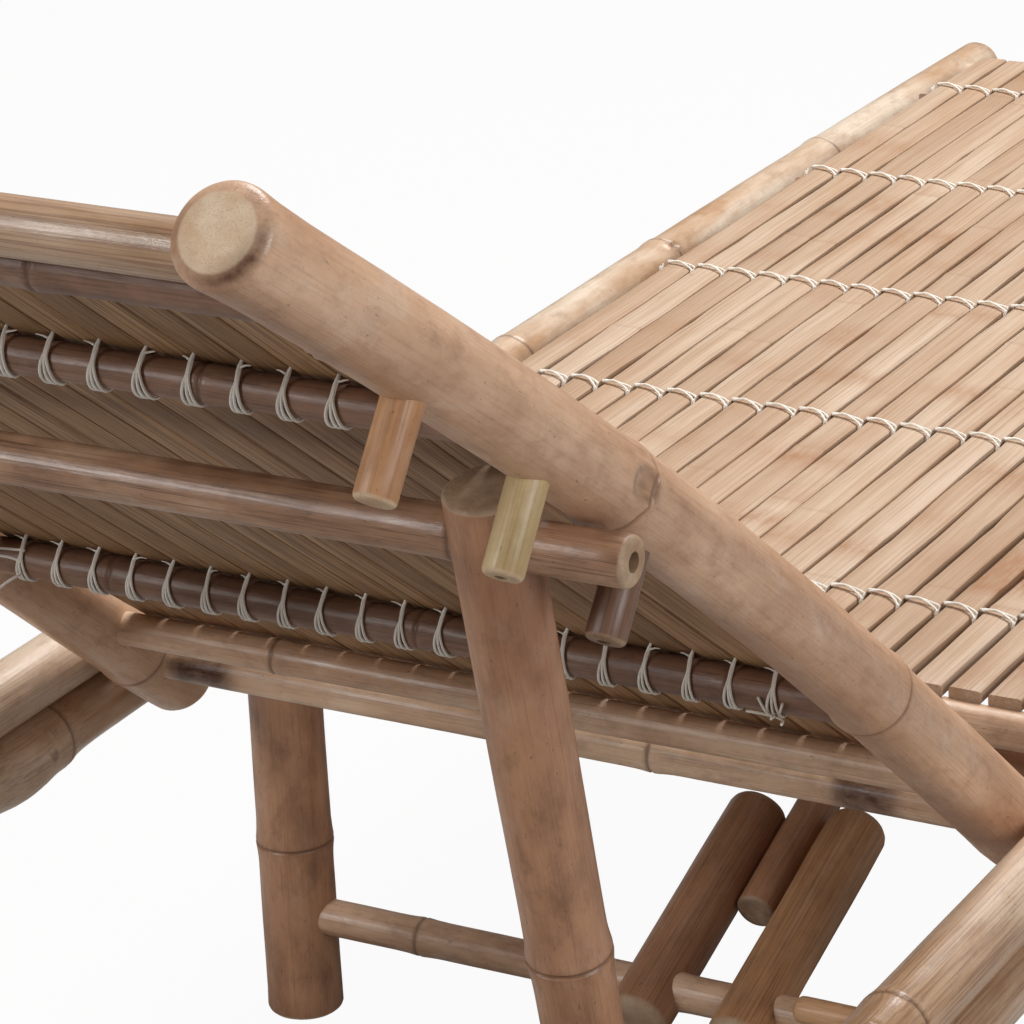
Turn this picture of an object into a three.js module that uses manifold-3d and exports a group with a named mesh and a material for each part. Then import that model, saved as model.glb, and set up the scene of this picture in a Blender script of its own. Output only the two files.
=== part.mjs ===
// Bamboo folding recliner.
// Millimetres. X runs across the seat, Y from the foot to the head, Z up.
// The seat frame is drawn from the backrest's hinge axle, which lies on the upper rails' centre line.
import * as THREE from 'three';
import { mergeVertices } from 'three/addons/utils/BufferGeometryUtils.js';
import Module from 'manifold-3d';

const wasm = await Module();
wasm.setup();

// Fits and shared shapes
const fit = 0.3; // gap between pieces that rest on or sit in each other
const cutOverrun = 5;
const endBevel = 2.5;
const nodeHalfWidth = 5; // half the length of a bamboo joint's swelling
const nodeSwell = 0.7;
const tenonDepth = 24; // how deep a cross bar sits in a rail or pole
const culmSides = 10;
const barSides = 8;
const quarterTurn = Math.PI / 2;
const degree = Math.PI / 180;

// Seat rails, in doubled pairs
const railOffset = 300; // from the middle to a rail's centre line
const railRadius = 18.5;
const railFootReach = 1268;
const railHeadReach = 420;
const lowerRailInset = 15;
const lowerRailDrop = 2 * railRadius + fit;
const railInnerSide = railOffset - railRadius;
const railNodePlaces = [-970, -712, -212, 262];
const lowerRailNodePlaces = [-820, -330, 185];
const dowelRadius = 4.5;
const dowelReach = 8; // past each rail's centre line
const dowelPlaces = [-1020, 240];

// Seat cross bars and slats
const hingeHeight = 285; // hinge axle above the floor
const hingeRadius = 10.75;
const endBarRadius = 11;
const rearBarPlace = -98;
const footBarPlace = -1207;
const lashBarRadius = 9;
const firstRowPlace = -200;
const lastRowPlace = -1122;
const rowShares = [0, 0.267, 0.511, 0.758, 1];
const stripRowShares = [0, 0.511, 1]; // rows whose slats also meet inside the lashing
const slatThickness = 8;
const seatSlatCount = 24;
const seatSlatGap = 3.6;
const seatMatSideGap = 9.4;
const matStripHalfWidth = 8;
const matStripThickness = 3;

// Backrest, drawn along its poles from the hinge
const reclineAngle = 37.4 * degree; // above level
const backLength = 852;
const poleTail = 43; // past the hinge
const poleFootRadius = 21.8;
const poleHeadRadius = 20.1;
const poleBow = 15; // how far the poles bulge towards the front
const poleHeadRise = 1.8; // how far their head ends stand forward
const poleSideGap = 0.7;
const poleSteps = 8;
const poleNodePlaces = [208, 504];
const bottomBarRadius = 9.5;
const bottomBarPlace = 57;
const bottomBarRise = 3;
const lowerLashBarPlace = 202;
const lowerLashBarRadius = 9.7;
const upperLashBarPlace = 625;
const upperLashBarRadius = 8.2;
const headBarRadius = 11.6;
const headBarInset = 25; // from the poles' head ends
const headBarRise = 1.1;
const secondHeadBarRadius = 9;
const secondHeadBarInset = 51;
const secondHeadBarRise = -5;
const backMatFront = 13.1; // where the slats meet the lash bars
const backMatStart = 62;
const backMatInset = 52; // from the poles' head ends
const backSlatCount = 21;
const backSlatGap = 3.5;
const backMatSideGap = 2.7;
const pegRadius = 9;
const pegReach = 38; // past the pole
const pegDepth = 14; // inside the pole
const lowPegPlace = 486;
const lowToMiddlePeg = 101;
const middleToHighPeg = 112;

// Prop that holds the backrest up
const propPivotPlace = 363.6;
const propPinRadius = 10;
const propPinHead = 5; // what a pin shows inside its post
const postFootRadius = 18.8;
const postHeadRadius = 19.4;
const postTail = 28;
const postHead = 25; // past the crossbar
const postUnderPole = 3.2; // how far the posts reach in under the poles
const postNodePlace = 101.5;
const postMatClearance = 1.6;
const crossbarPlace = 530; // along the poles
const crossbarRadius = 11.6;
const crossbarReach = 284.5;
const crossbarBoreRadius = 4.5;
const crossbarBoreDepth = 30;

// Leg frames
const rearLegPlace = -137;
const frontLegPlace = -1168;
const legRadius = 23.4;
const legTopRadius = 22.4;
const legRise = 18; // above its axle
const legSideGap = 1.1;
const legNodeHeight = 112; // above the floor
const legAxleRadius = 9;
const stretcherHeight = 63;
const stretcherRadius = 11.3;
const stretcherTenon = 30;
const splintRadius = 8;
const splintStart = 78; // from the middle
const splintAngle = 45 * degree;

// Folding brace: two links on the stretcher clasp a strut that hangs on the brace bar
const braceBarRadius = 8.5;
const linkGap = 0.35;
const knuckleReach = 105; // from the stretcher to the knuckle pin
const linkTail = 30;
const narrowLinkRadius = 19.1;
const narrowLinkReach = 150;
const wideLinkRadius = 18.8;
const wideLinkReach = 152;
const strutOffset = 15.3;
const strutRadius = 15;
const strutTipRadius = 12.6;
const strutTail = 20;
const strutTip = 35; // past the knuckle pin
const strutNeckStart = 100; // from the knuckle pin, where it starts to thin
const strutNeckEnd = 66;
const knuckleRadius = 5;
const knuckleHead = 2.5;

// Twine lashings
const cordRadius = 1.1;
const cordSides = 3;
const cordClearance = 0.45;
const cordTurnSteps = 3; // steps of the half turn under a bar
const gapSampleSpacing = 2;
const gapSampleSkip = 8; // neighbours along the cord that are not compared

// Materials
const bamboo = (color, roughness) => new THREE.MeshStandardMaterial({ color, roughness, metalness: 0 });
const railCane = bamboo(0xc9a27c, 0.5);
const poleCane = bamboo(0xb98e68, 0.45);
const darkCane = bamboo(0x7a5440, 0.6);
const reddishCane = bamboo(0x9a6a4c, 0.55);
const legCane = bamboo(0xa67c5a, 0.5);
const tanCane = bamboo(0xbd8a60, 0.55);
const greenCane = bamboo(0xc9b583, 0.5);
const seatStraw = bamboo(0xd9bd94, 0.65);
const backStraw = bamboo(0xbf9a72, 0.65);
const twine = bamboo(0xf1ece2, 0.9);

// Solids
function bare(geometry) {
  const plain = geometry.index ? geometry.clone() : geometry;
  plain.deleteAttribute('normal');
  plain.deleteAttribute('uv');
  return mergeVertices(plain);
}

function toSolid(geometry) {
  const plain = bare(geometry);
  const vertProperties = new Float32Array(plain.attributes.position.array);
  const triVerts = new Uint32Array(plain.index.array);
  return new wasm.Manifold(new wasm.Mesh({ numProp: 3, vertProperties, triVerts }));
}

function toGeometry(solid) {
  const mesh = solid.getMesh();
  const geometry = new THREE.BufferGeometry();
  geometry.setAttribute('position', new THREE.BufferAttribute(mesh.vertProperties, 3));
  geometry.setIndex(new THREE.BufferAttribute(mesh.triVerts, 1));
  return geometry;
}

function cut(geometry, cutters) {
  let solid = toSolid(geometry);
  for (const cutter of cutters) solid = solid.subtract(toSolid(cutter));
  return toGeometry(solid);
}

function join(geometries) {
  let solid = toSolid(geometries[0]);
  for (const geometry of geometries.slice(1)) solid = solid.add(toSolid(geometry));
  return toGeometry(solid);
}

// A bamboo stem along Y, with bevelled ends and a swelling at each node.
function stem({ start, end, radiusAt, nodes = [], steps = [] }) {
  const profile = [new THREE.Vector2(0, start)];
  const add = (along, less) => profile.push(new THREE.Vector2(radiusAt(along) - less, along));
  add(start, endBevel + nodeSwell);
  const rings = [[start + endBevel, nodeSwell], [end - endBevel, nodeSwell]];
  for (const along of steps) rings.push([along, nodeSwell]);
  for (const node of nodes) {
    rings.push([node - nodeHalfWidth, nodeSwell], [node, 0], [node + nodeHalfWidth, nodeSwell]);
  }
  rings.sort((a, b) => a[0] - b[0]);
  for (const [along, less] of rings) add(along, less);
  add(end, endBevel + nodeSwell);
  profile.push(new THREE.Vector2(0, end));
  return new THREE.LatheGeometry(profile, culmSides);
}

// A plain round bar along X, with bevelled ends.
function bar(radius, halfLength, sides = barSides) {
  const profile = [
    new THREE.Vector2(0, -halfLength),
    new THREE.Vector2(radius - endBevel, -halfLength),
    new THREE.Vector2(radius, endBevel - halfLength),
    new THREE.Vector2(radius, halfLength - endBevel),
    new THREE.Vector2(radius - endBevel, halfLength),
    new THREE.Vector2(0, halfLength),
  ];
  return new THREE.LatheGeometry(profile, sides).rotateZ(quarterTurn);
}

// A cutter for a round hole along X, wide enough for a bar of this radius at any turn.
function bore(radius, halfLength, [x, y, z] = [0, 0, 0]) {
  const holeRadius = (radius + fit) / Math.cos(Math.PI / culmSides);
  const hole = new THREE.CylinderGeometry(holeRadius, holeRadius, 2 * halfLength, culmSides);
  return hole.rotateZ(quarterTurn).translate(x, y, z);
}

function addPiece(parent, name, geometry, material, [x, y, z] = [0, 0, 0]) {
  const mesh = new THREE.Mesh(bare(geometry), material);
  mesh.name = name;
  mesh.position.set(x, y, z);
  parent.add(mesh);
  return mesh;
}

const sides = [
  { name: 'left', sign: 1 },
  { name: 'right', sign: -1 },
];

// Seat cross bar places, along Y
const rowPlaceAt = (share) => firstRowPlace + share * (lastRowPlace - firstRowPlace);
const rowPlaces = rowShares.map(rowPlaceAt);
const barReach = railInnerSide + tenonDepth;
const braceBarPlace = (rearLegPlace + frontLegPlace) / 2;

// A mortise open towards the middle, in a member that stands at this side.
function mortise(radius, memberOffset, reach, sign, y, z) {
  const outer = reach + fit;
  const inner = memberOffset - tenonDepth - cutOverrun - railRadius;
  const half = (outer - inner) / 2;
  return bore(radius, half, [sign * (inner + half - memberOffset), y, z]);
}

function railGeometry(sign, level) {
  const upper = level === 'upper';
  const inset = upper ? 0 : lowerRailInset;
  const geometry = stem({
    start: inset - railFootReach,
    end: railHeadReach - inset,
    radiusAt: () => railRadius,
    nodes: upper ? railNodePlaces : lowerRailNodePlaces,
  });
  const bars = upper
    ? [
        [hingeRadius, 0],
        [endBarRadius, rearBarPlace],
        [endBarRadius, footBarPlace],
        [propPinRadius, propPivotPlace],
        ...rowPlaces.map((place) => [lashBarRadius, place]),
      ]
    : [
        [legAxleRadius, rearLegPlace],
        [legAxleRadius, frontLegPlace],
        [braceBarRadius, braceBarPlace],
      ];
  const cutters = bars.map(([radius, y]) => mortise(radius, railOffset, barReach, sign, y, 0));
  const holeRadius = (dowelRadius + fit) / Math.cos(Math.PI / barSides);
  const holeHeight = railRadius + cutOverrun + dowelReach + fit;
  const middle = (upper ? 1 : -1) * (dowelReach + fit - holeHeight / 2);
  for (const place of dowelPlaces) {
    const hole = new THREE.CylinderGeometry(holeRadius, holeRadius, holeHeight, barSides);
    cutters.push(hole.rotateX(quarterTurn).translate(0, place, middle));
  }
  return cut(geometry, cutters);
}

function addRails(parent) {
  const dowelHeight = lowerRailDrop + 2 * dowelReach;
  for (const { name, sign } of sides) {
    const x = sign * railOffset;
    addPiece(parent, `upper_rail_${name}`, railGeometry(sign, 'upper'), railCane, [x, 0, 0]);
    addPiece(parent, `lower_rail_${name}`, railGeometry(sign, 'lower'), railCane, [x, 0, -lowerRailDrop]);
    dowelPlaces.forEach((place, index) => {
      const dowel = new THREE.CylinderGeometry(dowelRadius, dowelRadius, dowelHeight, barSides);
      const end = index === 0 ? 'foot' : 'head';
      dowel.rotateX(quarterTurn);
      addPiece(parent, `rail_dowel_${name}_${end}`, dowel, legCane, [x, place, -lowerRailDrop / 2]);
    });
  }
}

function addSeatBars(parent) {
  addPiece(parent, 'hinge_axle', bar(hingeRadius, barReach, culmSides), reddishCane);
  addPiece(parent, 'seat_rear_bar', bar(endBarRadius, barReach), reddishCane, [0, rearBarPlace, 0]);
  addPiece(parent, 'seat_foot_bar', bar(endBarRadius, barReach), railCane, [0, footBarPlace, 0]);
  for (const { name, sign } of sides) {
    const pin = bar(propPinRadius, (barReach - propPinInnerEnd) / 2);
    const x = (sign * (barReach + propPinInnerEnd)) / 2;
    addPiece(parent, `prop_pin_${name}`, pin, reddishCane, [x, propPivotPlace, 0]);
  }
  rowPlaces.forEach((place, index) => {
    addPiece(parent, `seat_lash_bar_${index + 1}`, bar(lashBarRadius, barReach), darkCane, [0, place, 0]);
  });
  const addLowBar = (name, radius, place) => {
    addPiece(parent, name, bar(radius, barReach), legCane, [0, place, -lowerRailDrop]);
  };
  addLowBar('rear_leg_axle', legAxleRadius, rearLegPlace);
  addLowBar('front_leg_axle', legAxleRadius, frontLegPlace);
  addLowBar('brace_bar', braceBarRadius, braceBarPlace);
}

// Slats side by side along Y, tied by thin strips through their thickness at each lashed bar.
function matGeometry({ start, end, halfWidth, count, gap, bottom, rows }) {
  const pitch = (2 * halfWidth + gap) / count;
  const length = end - start;
  const middle = bottom + slatThickness / 2;
  const pieces = [];
  for (let index = 0; index < count; index += 1) {
    const x = index * pitch + (pitch - gap) / 2 - halfWidth;
    const slat = new THREE.BoxGeometry(pitch - gap, length, slatThickness);
    pieces.push(slat.translate(x, start + length / 2, middle));
  }
  const stripLength = 2 * halfWidth - (pitch - gap);
  for (const row of rows) {
    const strip = new THREE.BoxGeometry(stripLength, 2 * matStripHalfWidth, matStripThickness);
    pieces.push(strip.translate(0, row, middle));
  }
  return join(pieces);
}

// Twine: one unbroken cord that goes round the bar in every slat gap and over a slat to the next gap.
function lashingPoints({ halfWidth, count, gap, barRadius, matTop }) {
  const pitch = (2 * halfWidth + gap) / count;
  const turnRadius = (barRadius + cordRadius + cordClearance) / Math.cos(quarterTurn / cordTurnSteps);
  const top = matTop + cordRadius + cordClearance;
  const points = [];
  for (let index = 1; index < count; index += 1) {
    const x = index * pitch - halfWidth - gap / 2;
    points.push(new THREE.Vector3(x, turnRadius, top));
    for (let step = 0; step <= cordTurnSteps; step += 1) {
      const angle = (-Math.PI * step) / cordTurnSteps;
      points.push(new THREE.Vector3(x, turnRadius * Math.cos(angle), turnRadius * Math.sin(angle)));
    }
    points.push(new THREE.Vector3(x, -turnRadius, top));
  }
  return points;
}

// A closed prism along straight runs, mitred where they meet.
function cordGeometry(points) {
  const directions = points.slice(1).map((point, index) => point.clone().sub(points[index]).normalize());
  const across = new THREE.Vector3(1, 0, 0);
  const first = across.addScaledVector(directions[0], -across.dot(directions[0])).normalize();
  let offsets = [];
  for (let side = 0; side < cordSides; side += 1) {
    const turn = (2 * Math.PI * side) / cordSides;
    offsets.push(first.clone().applyAxisAngle(directions[0], turn).multiplyScalar(cordRadius));
  }
  const positions = [];
  const addRing = (point) => {
    for (const offset of offsets) positions.push(...point.clone().add(offset).toArray());
  };
  addRing(points[0]);
  for (let index = 1; index < points.length; index += 1) {
    const incoming = directions[index - 1];
    const outgoing = directions[index] ?? incoming;
    const plane = incoming.clone().add(outgoing).normalize();
    const slide = (offset) => -offset.dot(plane) / incoming.dot(plane);
    offsets = offsets.map((offset) => offset.clone().addScaledVector(incoming, slide(offset)));
    addRing(points[index]);
    offsets = offsets.map((offset) => offset.clone().addScaledVector(outgoing, -offset.dot(outgoing)));
  }
  const indices = [];
  for (let ring = 0; ring < points.length - 1; ring += 1) {
    for (let side = 0; side < cordSides; side += 1) {
      const a = ring * cordSides + side;
      const b = ring * cordSides + ((side + 1) % cordSides);
      indices.push(a, b, b + cordSides, a, b + cordSides, a + cordSides);
    }
  }
  const last = (points.length - 1) * cordSides;
  for (let side = 1; side < cordSides - 1; side += 1) {
    indices.push(0, side + 1, side);
    indices.push(last, last + side, last + side + 1);
  }
  const geometry = new THREE.BufferGeometry();
  geometry.setAttribute('position', new THREE.Float32BufferAttribute(positions, 3));
  geometry.setIndex(indices);
  return geometry;
}

// The least clear distance between parts of a cord that are not neighbours along it.
function leastSelfGap(points) {
  const samples = [];
  for (let index = 1; index < points.length; index += 1) {
    const length = points[index].distanceTo(points[index - 1]);
    const count = Math.ceil(length / gapSampleSpacing);
    for (let step = 0; step < count; step += 1) {
      samples.push(points[index - 1].clone().lerp(points[index], step / count));
    }
  }
  let least = Infinity;
  for (let i = 0; i < samples.length; i += 1) {
    for (let j = i + gapSampleSkip; j < samples.length; j += 1) {
      least = Math.min(least, samples[i].distanceTo(samples[j]));
    }
  }
  return least - 2 * cordRadius;
}

const seatMatHalfWidth = railInnerSide - seatMatSideGap;
const seatMatBottom = lashBarRadius + fit;
const seatMatLap = Math.sqrt((endBarRadius + fit) ** 2 - seatMatBottom ** 2); // from an end bar's centre line

function addSeatMat(parent) {
  const layout = { halfWidth: seatMatHalfWidth, count: seatSlatCount, gap: seatSlatGap };
  const start = footBarPlace + seatMatLap;
  const end = rearBarPlace - seatMatLap;
  const rows = stripRowShares.map(rowPlaceAt);
  const mat = matGeometry({ ...layout, start, end, bottom: seatMatBottom, rows });
  addPiece(parent, 'seat_mat', mat, seatStraw);
  const matTop = seatMatBottom + slatThickness;
  const points = lashingPoints({ ...layout, barRadius: lashBarRadius, matTop });
  console.log('seat lashing, least gap to itself, mm:', leastSelfGap(points).toFixed(2));
  rowPlaces.forEach((place, index) => {
    addPiece(parent, `seat_lashing_${index + 1}`, cordGeometry(points), twine, [0, place, 0]);
  });
}

// Backrest
const poleOffset = railInnerSide - poleFootRadius - poleSideGap;
const poleInnerSide = poleOffset - poleFootRadius;
const clampAlong = (along) => THREE.MathUtils.clamp(along, 0, backLength);
function bowAt(along) {
  const share = clampAlong(along) / backLength;
  return poleBow * Math.sin(Math.PI * share) + poleHeadRise * share;
}
function poleRadiusAt(along) {
  return THREE.MathUtils.lerp(poleFootRadius, poleHeadRadius, clampAlong(along) / backLength);
}
const backBarReach = poleInnerSide + tenonDepth;
const backLashBars = [
  { name: 'back_lash_bar_lower', place: lowerLashBarPlace, radius: lowerLashBarRadius },
  { name: 'back_lash_bar_upper', place: upperLashBarPlace, radius: upperLashBarRadius },
].map((lashBar) => ({ ...lashBar, rise: backMatFront - lashBar.radius }));
const headBarPlace = backLength - headBarInset;
const secondHeadBarPlace = backLength - secondHeadBarInset;
const middlePegPlace = lowPegPlace + lowToMiddlePeg;
const pegPlaces = { low: lowPegPlace, middle: middlePegPlace, high: middlePegPlace + middleToHighPeg };

function poleGeometry(sign) {
  const steps = [];
  for (let step = 1; step < poleSteps; step += 1) steps.push((step * backLength) / poleSteps);
  const geometry = stem({
    start: -poleTail,
    end: backLength,
    radiusAt: poleRadiusAt,
    nodes: poleNodePlaces,
    steps,
  });
  const position = geometry.attributes.position;
  for (let index = 0; index < position.count; index += 1) {
    position.setZ(index, position.getZ(index) + bowAt(position.getY(index)));
  }
  const bars = [
    [bottomBarRadius, bottomBarPlace, bottomBarRise],
    [headBarRadius, headBarPlace, headBarRise],
    [secondHeadBarRadius, secondHeadBarPlace, secondHeadBarRise],
    ...backLashBars.map(({ radius, place, rise }) => [radius, place, rise]),
  ];
  const cutters = bars.map(([radius, y, z]) => mortise(radius, poleOffset, backBarReach, sign, y, z));
  cutters.push(bore(hingeRadius, poleFootRadius + cutOverrun));
  const holeRadius = (pegRadius + fit) / Math.cos(Math.PI / culmSides);
  for (const place of Object.values(pegPlaces)) {
    const surface = bowAt(place) - poleRadiusAt(place);
    const hole = new THREE.CylinderGeometry(holeRadius, holeRadius, pegDepth + fit + cutOverrun, culmSides);
    cutters.push(hole.rotateX(quarterTurn).translate(0, place, surface + (pegDepth + fit - cutOverrun) / 2));
  }
  return cut(geometry, cutters);
}

function addPegs(parent, name, x) {
  const colors = { low: darkCane, middle: greenCane, high: tanCane };
  for (const [level, place] of Object.entries(pegPlaces)) {
    const peg = new THREE.CylinderGeometry(pegRadius, pegRadius, pegDepth + pegReach, culmSides);
    const surface = bowAt(place) - poleRadiusAt(place);
    const middle = surface + (pegDepth - pegReach) / 2;
    addPiece(parent, `peg_${level}_${name}`, peg.rotateX(quarterTurn), colors[level], [x, place, middle]);
  }
}

function addBackrest(parent) {
  const backrest = new THREE.Group();
  backrest.rotation.x = reclineAngle;
  parent.add(backrest);
  for (const { name, sign } of sides) {
    const x = sign * poleOffset;
    addPiece(backrest, `back_pole_${name}`, poleGeometry(sign), poleCane, [x, 0, 0]);
    addPegs(backrest, name, x);
  }
  const addBar = (name, radius, material, place, rise) => {
    addPiece(backrest, name, bar(radius, backBarReach), material, [0, place, rise]);
  };
  addBar('back_bottom_bar', bottomBarRadius, reddishCane, bottomBarPlace, bottomBarRise);
  addBar('back_head_bar', headBarRadius, railCane, headBarPlace, headBarRise);
  addBar('back_second_head_bar', secondHeadBarRadius, darkCane, secondHeadBarPlace, secondHeadBarRise);
  for (const { name, place, rise, radius } of backLashBars) addBar(name, radius, darkCane, place, rise);
  const layout = { halfWidth: poleInnerSide - backMatSideGap, count: backSlatCount, gap: backSlatGap };
  const bottom = backMatFront + fit;
  const rows = backLashBars.map(({ place }) => place);
  const end = backLength - backMatInset;
  const mat = matGeometry({ ...layout, start: backMatStart, end, bottom, rows });
  addPiece(backrest, 'back_mat', mat, backStraw);
  for (const { name, place, rise, radius } of backLashBars) {
    const points = lashingPoints({ ...layout, barRadius: radius, matTop: bottom + slatThickness - rise });
    console.log(`${name} lashing, least gap to itself, mm:`, leastSelfGap(points).toFixed(2));
    const lashing = cordGeometry(points);
    addPiece(backrest, name.replace('lash_bar', 'lashing'), lashing, twine, [0, place, rise]);
  }
}

// Prop
const postOffset = poleInnerSide - postHeadRadius + postUnderPole;
const propPinInnerEnd = postOffset - postHeadRadius - propPinHead;
const crossbarRise = bowAt(crossbarPlace) - poleRadiusAt(crossbarPlace) - crossbarRadius - fit;
const hingePoint = new THREE.Vector2();
const crossbarPoint = new THREE.Vector2(crossbarPlace, crossbarRise).rotateAround(hingePoint, reclineAngle);
const propReach = crossbarPoint.clone().sub(new THREE.Vector2(propPivotPlace, 0));
const postLength = propReach.length() + postHead;
function postRadiusAt(along) {
  return THREE.MathUtils.lerp(postFootRadius, postHeadRadius, Math.max(along, 0) / postLength);
}

function postGeometry() {
  const length = propReach.length();
  const geometry = stem({
    start: -postTail,
    end: postLength,
    radiusAt: postRadiusAt,
    nodes: [postNodePlace],
  });
  const cutSize = 4 * postHeadRadius;
  const slope = new THREE.BoxGeometry(cutSize, cutSize, cutSize);
  slope.translate(0, 0, cutSize / 2 + backMatFront + fit - postMatClearance - crossbarRise);
  slope.rotateX(reclineAngle - propReach.angle()).translate(0, length, 0);
  const holes = [
    bore(propPinRadius, postHeadRadius + cutOverrun),
    bore(crossbarRadius, postHeadRadius + cutOverrun, [0, length, 0]),
  ];
  return cut(geometry, [slope, ...holes]);
}

function addProp(parent) {
  const prop = new THREE.Group();
  prop.position.y = propPivotPlace;
  prop.rotation.x = propReach.angle();
  parent.add(prop);
  for (const { name, sign } of sides) {
    addPiece(prop, `prop_post_${name}`, postGeometry(), legCane, [sign * postOffset, 0, 0]);
  }
  const middle = crossbarReach - crossbarBoreDepth / 2 + cutOverrun;
  const boreHalf = crossbarBoreDepth / 2 + cutOverrun;
  const bores = sides.map(({ sign }) => bore(crossbarBoreRadius, boreHalf, [sign * middle, 0, 0]));
  const crossbar = cut(bar(crossbarRadius, crossbarReach, culmSides), bores);
  addPiece(prop, 'prop_crossbar', crossbar, tanCane, [0, propReach.length(), 0]);
}

// Leg frames, drawn from the leg axle; the front one is the rear one turned half round
const legOffset = railInnerSide - legRadius - legSideGap;
const legDrop = hingeHeight - lowerRailDrop; // leg axle above the floor
const stretcherDrop = legDrop - stretcherHeight;
const stretcherReach = legOffset - legRadius + stretcherTenon;
const braceBase = braceBarPlace - rearLegPlace;
const braceLine = new THREE.Vector2(braceBase, stretcherDrop); // from the stretcher to the brace bar
const strutPinPlace = braceLine.length() - knuckleReach;

function legGeometry(sign) {
  const length = legDrop + legRise;
  const geometry = stem({
    start: -legDrop,
    end: legRise,
    radiusAt: (along) => THREE.MathUtils.lerp(legRadius, legTopRadius, (along + legDrop) / length),
    nodes: [legNodeHeight - legDrop],
  });
  const holeHalf = (stretcherTenon + fit + cutOverrun) / 2;
  const inner = -legRadius - cutOverrun;
  return cut(geometry.rotateX(quarterTurn), [
    bore(legAxleRadius, legRadius + cutOverrun),
    bore(stretcherRadius, holeHalf, [sign * (inner + holeHalf), 0, -stretcherDrop]),
  ]);
}

// A short thick cane along Y with rounded ends.
function roundEnded(start, end, radius) {
  const profile = [
    new THREE.Vector2(0, start),
    new THREE.Vector2(radius / 2, start),
    new THREE.Vector2(radius, start + radius / 2),
    new THREE.Vector2(radius, end - radius / 2),
    new THREE.Vector2(radius / 2, end),
    new THREE.Vector2(0, end),
  ];
  return new THREE.LatheGeometry(profile, culmSides);
}

// A link with its driven end of the knuckle pin, which shows on the outer side.
function linkGeometry(radius, reach, outerSign) {
  const pinLength = radius + knuckleHead;
  const pin = new THREE.CylinderGeometry(knuckleRadius, knuckleRadius, pinLength, barSides);
  pin.rotateZ(quarterTurn).translate((outerSign * pinLength) / 2, knuckleReach, 0);
  const cane = roundEnded(-linkTail, reach, radius);
  return join([cut(cane, [bore(stretcherRadius, radius + cutOverrun)]), pin]);
}

function strutGeometry() {
  const tip = strutPinPlace + strutTip;
  const profile = [
    new THREE.Vector2(0, -strutTail),
    new THREE.Vector2(strutRadius / 2, -strutTail),
    new THREE.Vector2(strutRadius, strutRadius / 2 - strutTail),
    new THREE.Vector2(strutRadius, strutPinPlace - strutNeckStart),
    new THREE.Vector2(strutTipRadius, strutPinPlace - strutNeckEnd),
    new THREE.Vector2(strutTipRadius, tip - strutTipRadius / 2),
    new THREE.Vector2(strutTipRadius / 2, tip),
    new THREE.Vector2(0, tip),
  ];
  return cut(new THREE.LatheGeometry(profile, culmSides), [bore(braceBarRadius, strutRadius + cutOverrun)]);
}

function addLegFrame(parent, prefix, place, turn) {
  const frame = new THREE.Group();
  frame.position.set(0, place, -lowerRailDrop);
  frame.rotation.z = turn;
  parent.add(frame);
  for (const { name, sign } of sides) {
    const seatSide = turn === 0 ? name : sides.find((side) => side.sign === -sign).name;
    addPiece(frame, `${prefix}_leg_${seatSide}`, legGeometry(sign), legCane, [sign * legOffset, 0, 0]);
  }
  const stretcher = bar(stretcherRadius, stretcherReach, culmSides);
  addPiece(frame, `${prefix}_stretcher`, stretcher, reddishCane, [0, 0, -stretcherDrop]);

  const links = new THREE.Group();
  links.position.z = -stretcherDrop;
  links.rotation.x = braceLine.angle();
  frame.add(links);
  const narrowOffset = strutTipRadius + linkGap + narrowLinkRadius - strutOffset;
  const wideOffset = -strutTipRadius - linkGap - wideLinkRadius - strutOffset;
  const narrowLink = linkGeometry(narrowLinkRadius, narrowLinkReach, 1);
  const wideLink = linkGeometry(wideLinkRadius, wideLinkReach, -1);
  addPiece(links, `${prefix}_brace_link_narrow`, narrowLink, legCane, [narrowOffset, 0, 0]);
  addPiece(links, `${prefix}_brace_link_wide`, wideLink, tanCane, [wideOffset, 0, 0]);

  const strut = new THREE.Group();
  strut.position.set(-strutOffset, braceBase, 0);
  strut.rotation.x = braceLine.angle() - Math.PI;
  frame.add(strut);
  addPiece(strut, `${prefix}_brace_strut`, strutGeometry(), legCane);
  return frame;
}

function addSplint(frame) {
  const spread = stretcherRadius + splintRadius + fit;
  const end = legOffset - legRadius - fit;
  const middle = (splintStart + end) / 2;
  const y = spread * Math.cos(splintAngle);
  const z = spread * Math.sin(splintAngle) - stretcherDrop;
  addPiece(frame, 'stretcher_splint', bar(splintRadius, (end - splintStart) / 2), tanCane, [-middle, y, z]);
}

// The whole recliner, standing with the middle of its outline at the origin
const recliner = new THREE.Group();
addRails(recliner);
addSeatBars(recliner);
addSeatMat(recliner);
addSplint(addLegFrame(recliner, 'rear', rearLegPlace, 0));
addLegFrame(recliner, 'front', frontLegPlace, Math.PI);
addBackrest(recliner);
addProp(recliner);
recliner.updateMatrixWorld(true);
const outline = new THREE.Box3().setFromObject(recliner, true);
recliner.position.set(0, -outline.getCenter(new THREE.Vector3()).y, -outline.min.z);

export default recliner;
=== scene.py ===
import math
import random

import bmesh
import bpy
from mathutils import Matrix, Vector, noise


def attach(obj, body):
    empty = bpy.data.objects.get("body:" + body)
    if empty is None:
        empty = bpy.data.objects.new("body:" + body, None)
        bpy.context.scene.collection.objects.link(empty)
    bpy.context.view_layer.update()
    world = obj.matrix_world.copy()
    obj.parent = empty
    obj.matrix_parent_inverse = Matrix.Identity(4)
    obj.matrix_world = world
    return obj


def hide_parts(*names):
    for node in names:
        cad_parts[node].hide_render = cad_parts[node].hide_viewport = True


# Bamboo folding recliner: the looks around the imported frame.
# Sizes are millimetres from the backrest's hinge axle, as the solids are drawn, until a piece is finished.

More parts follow.
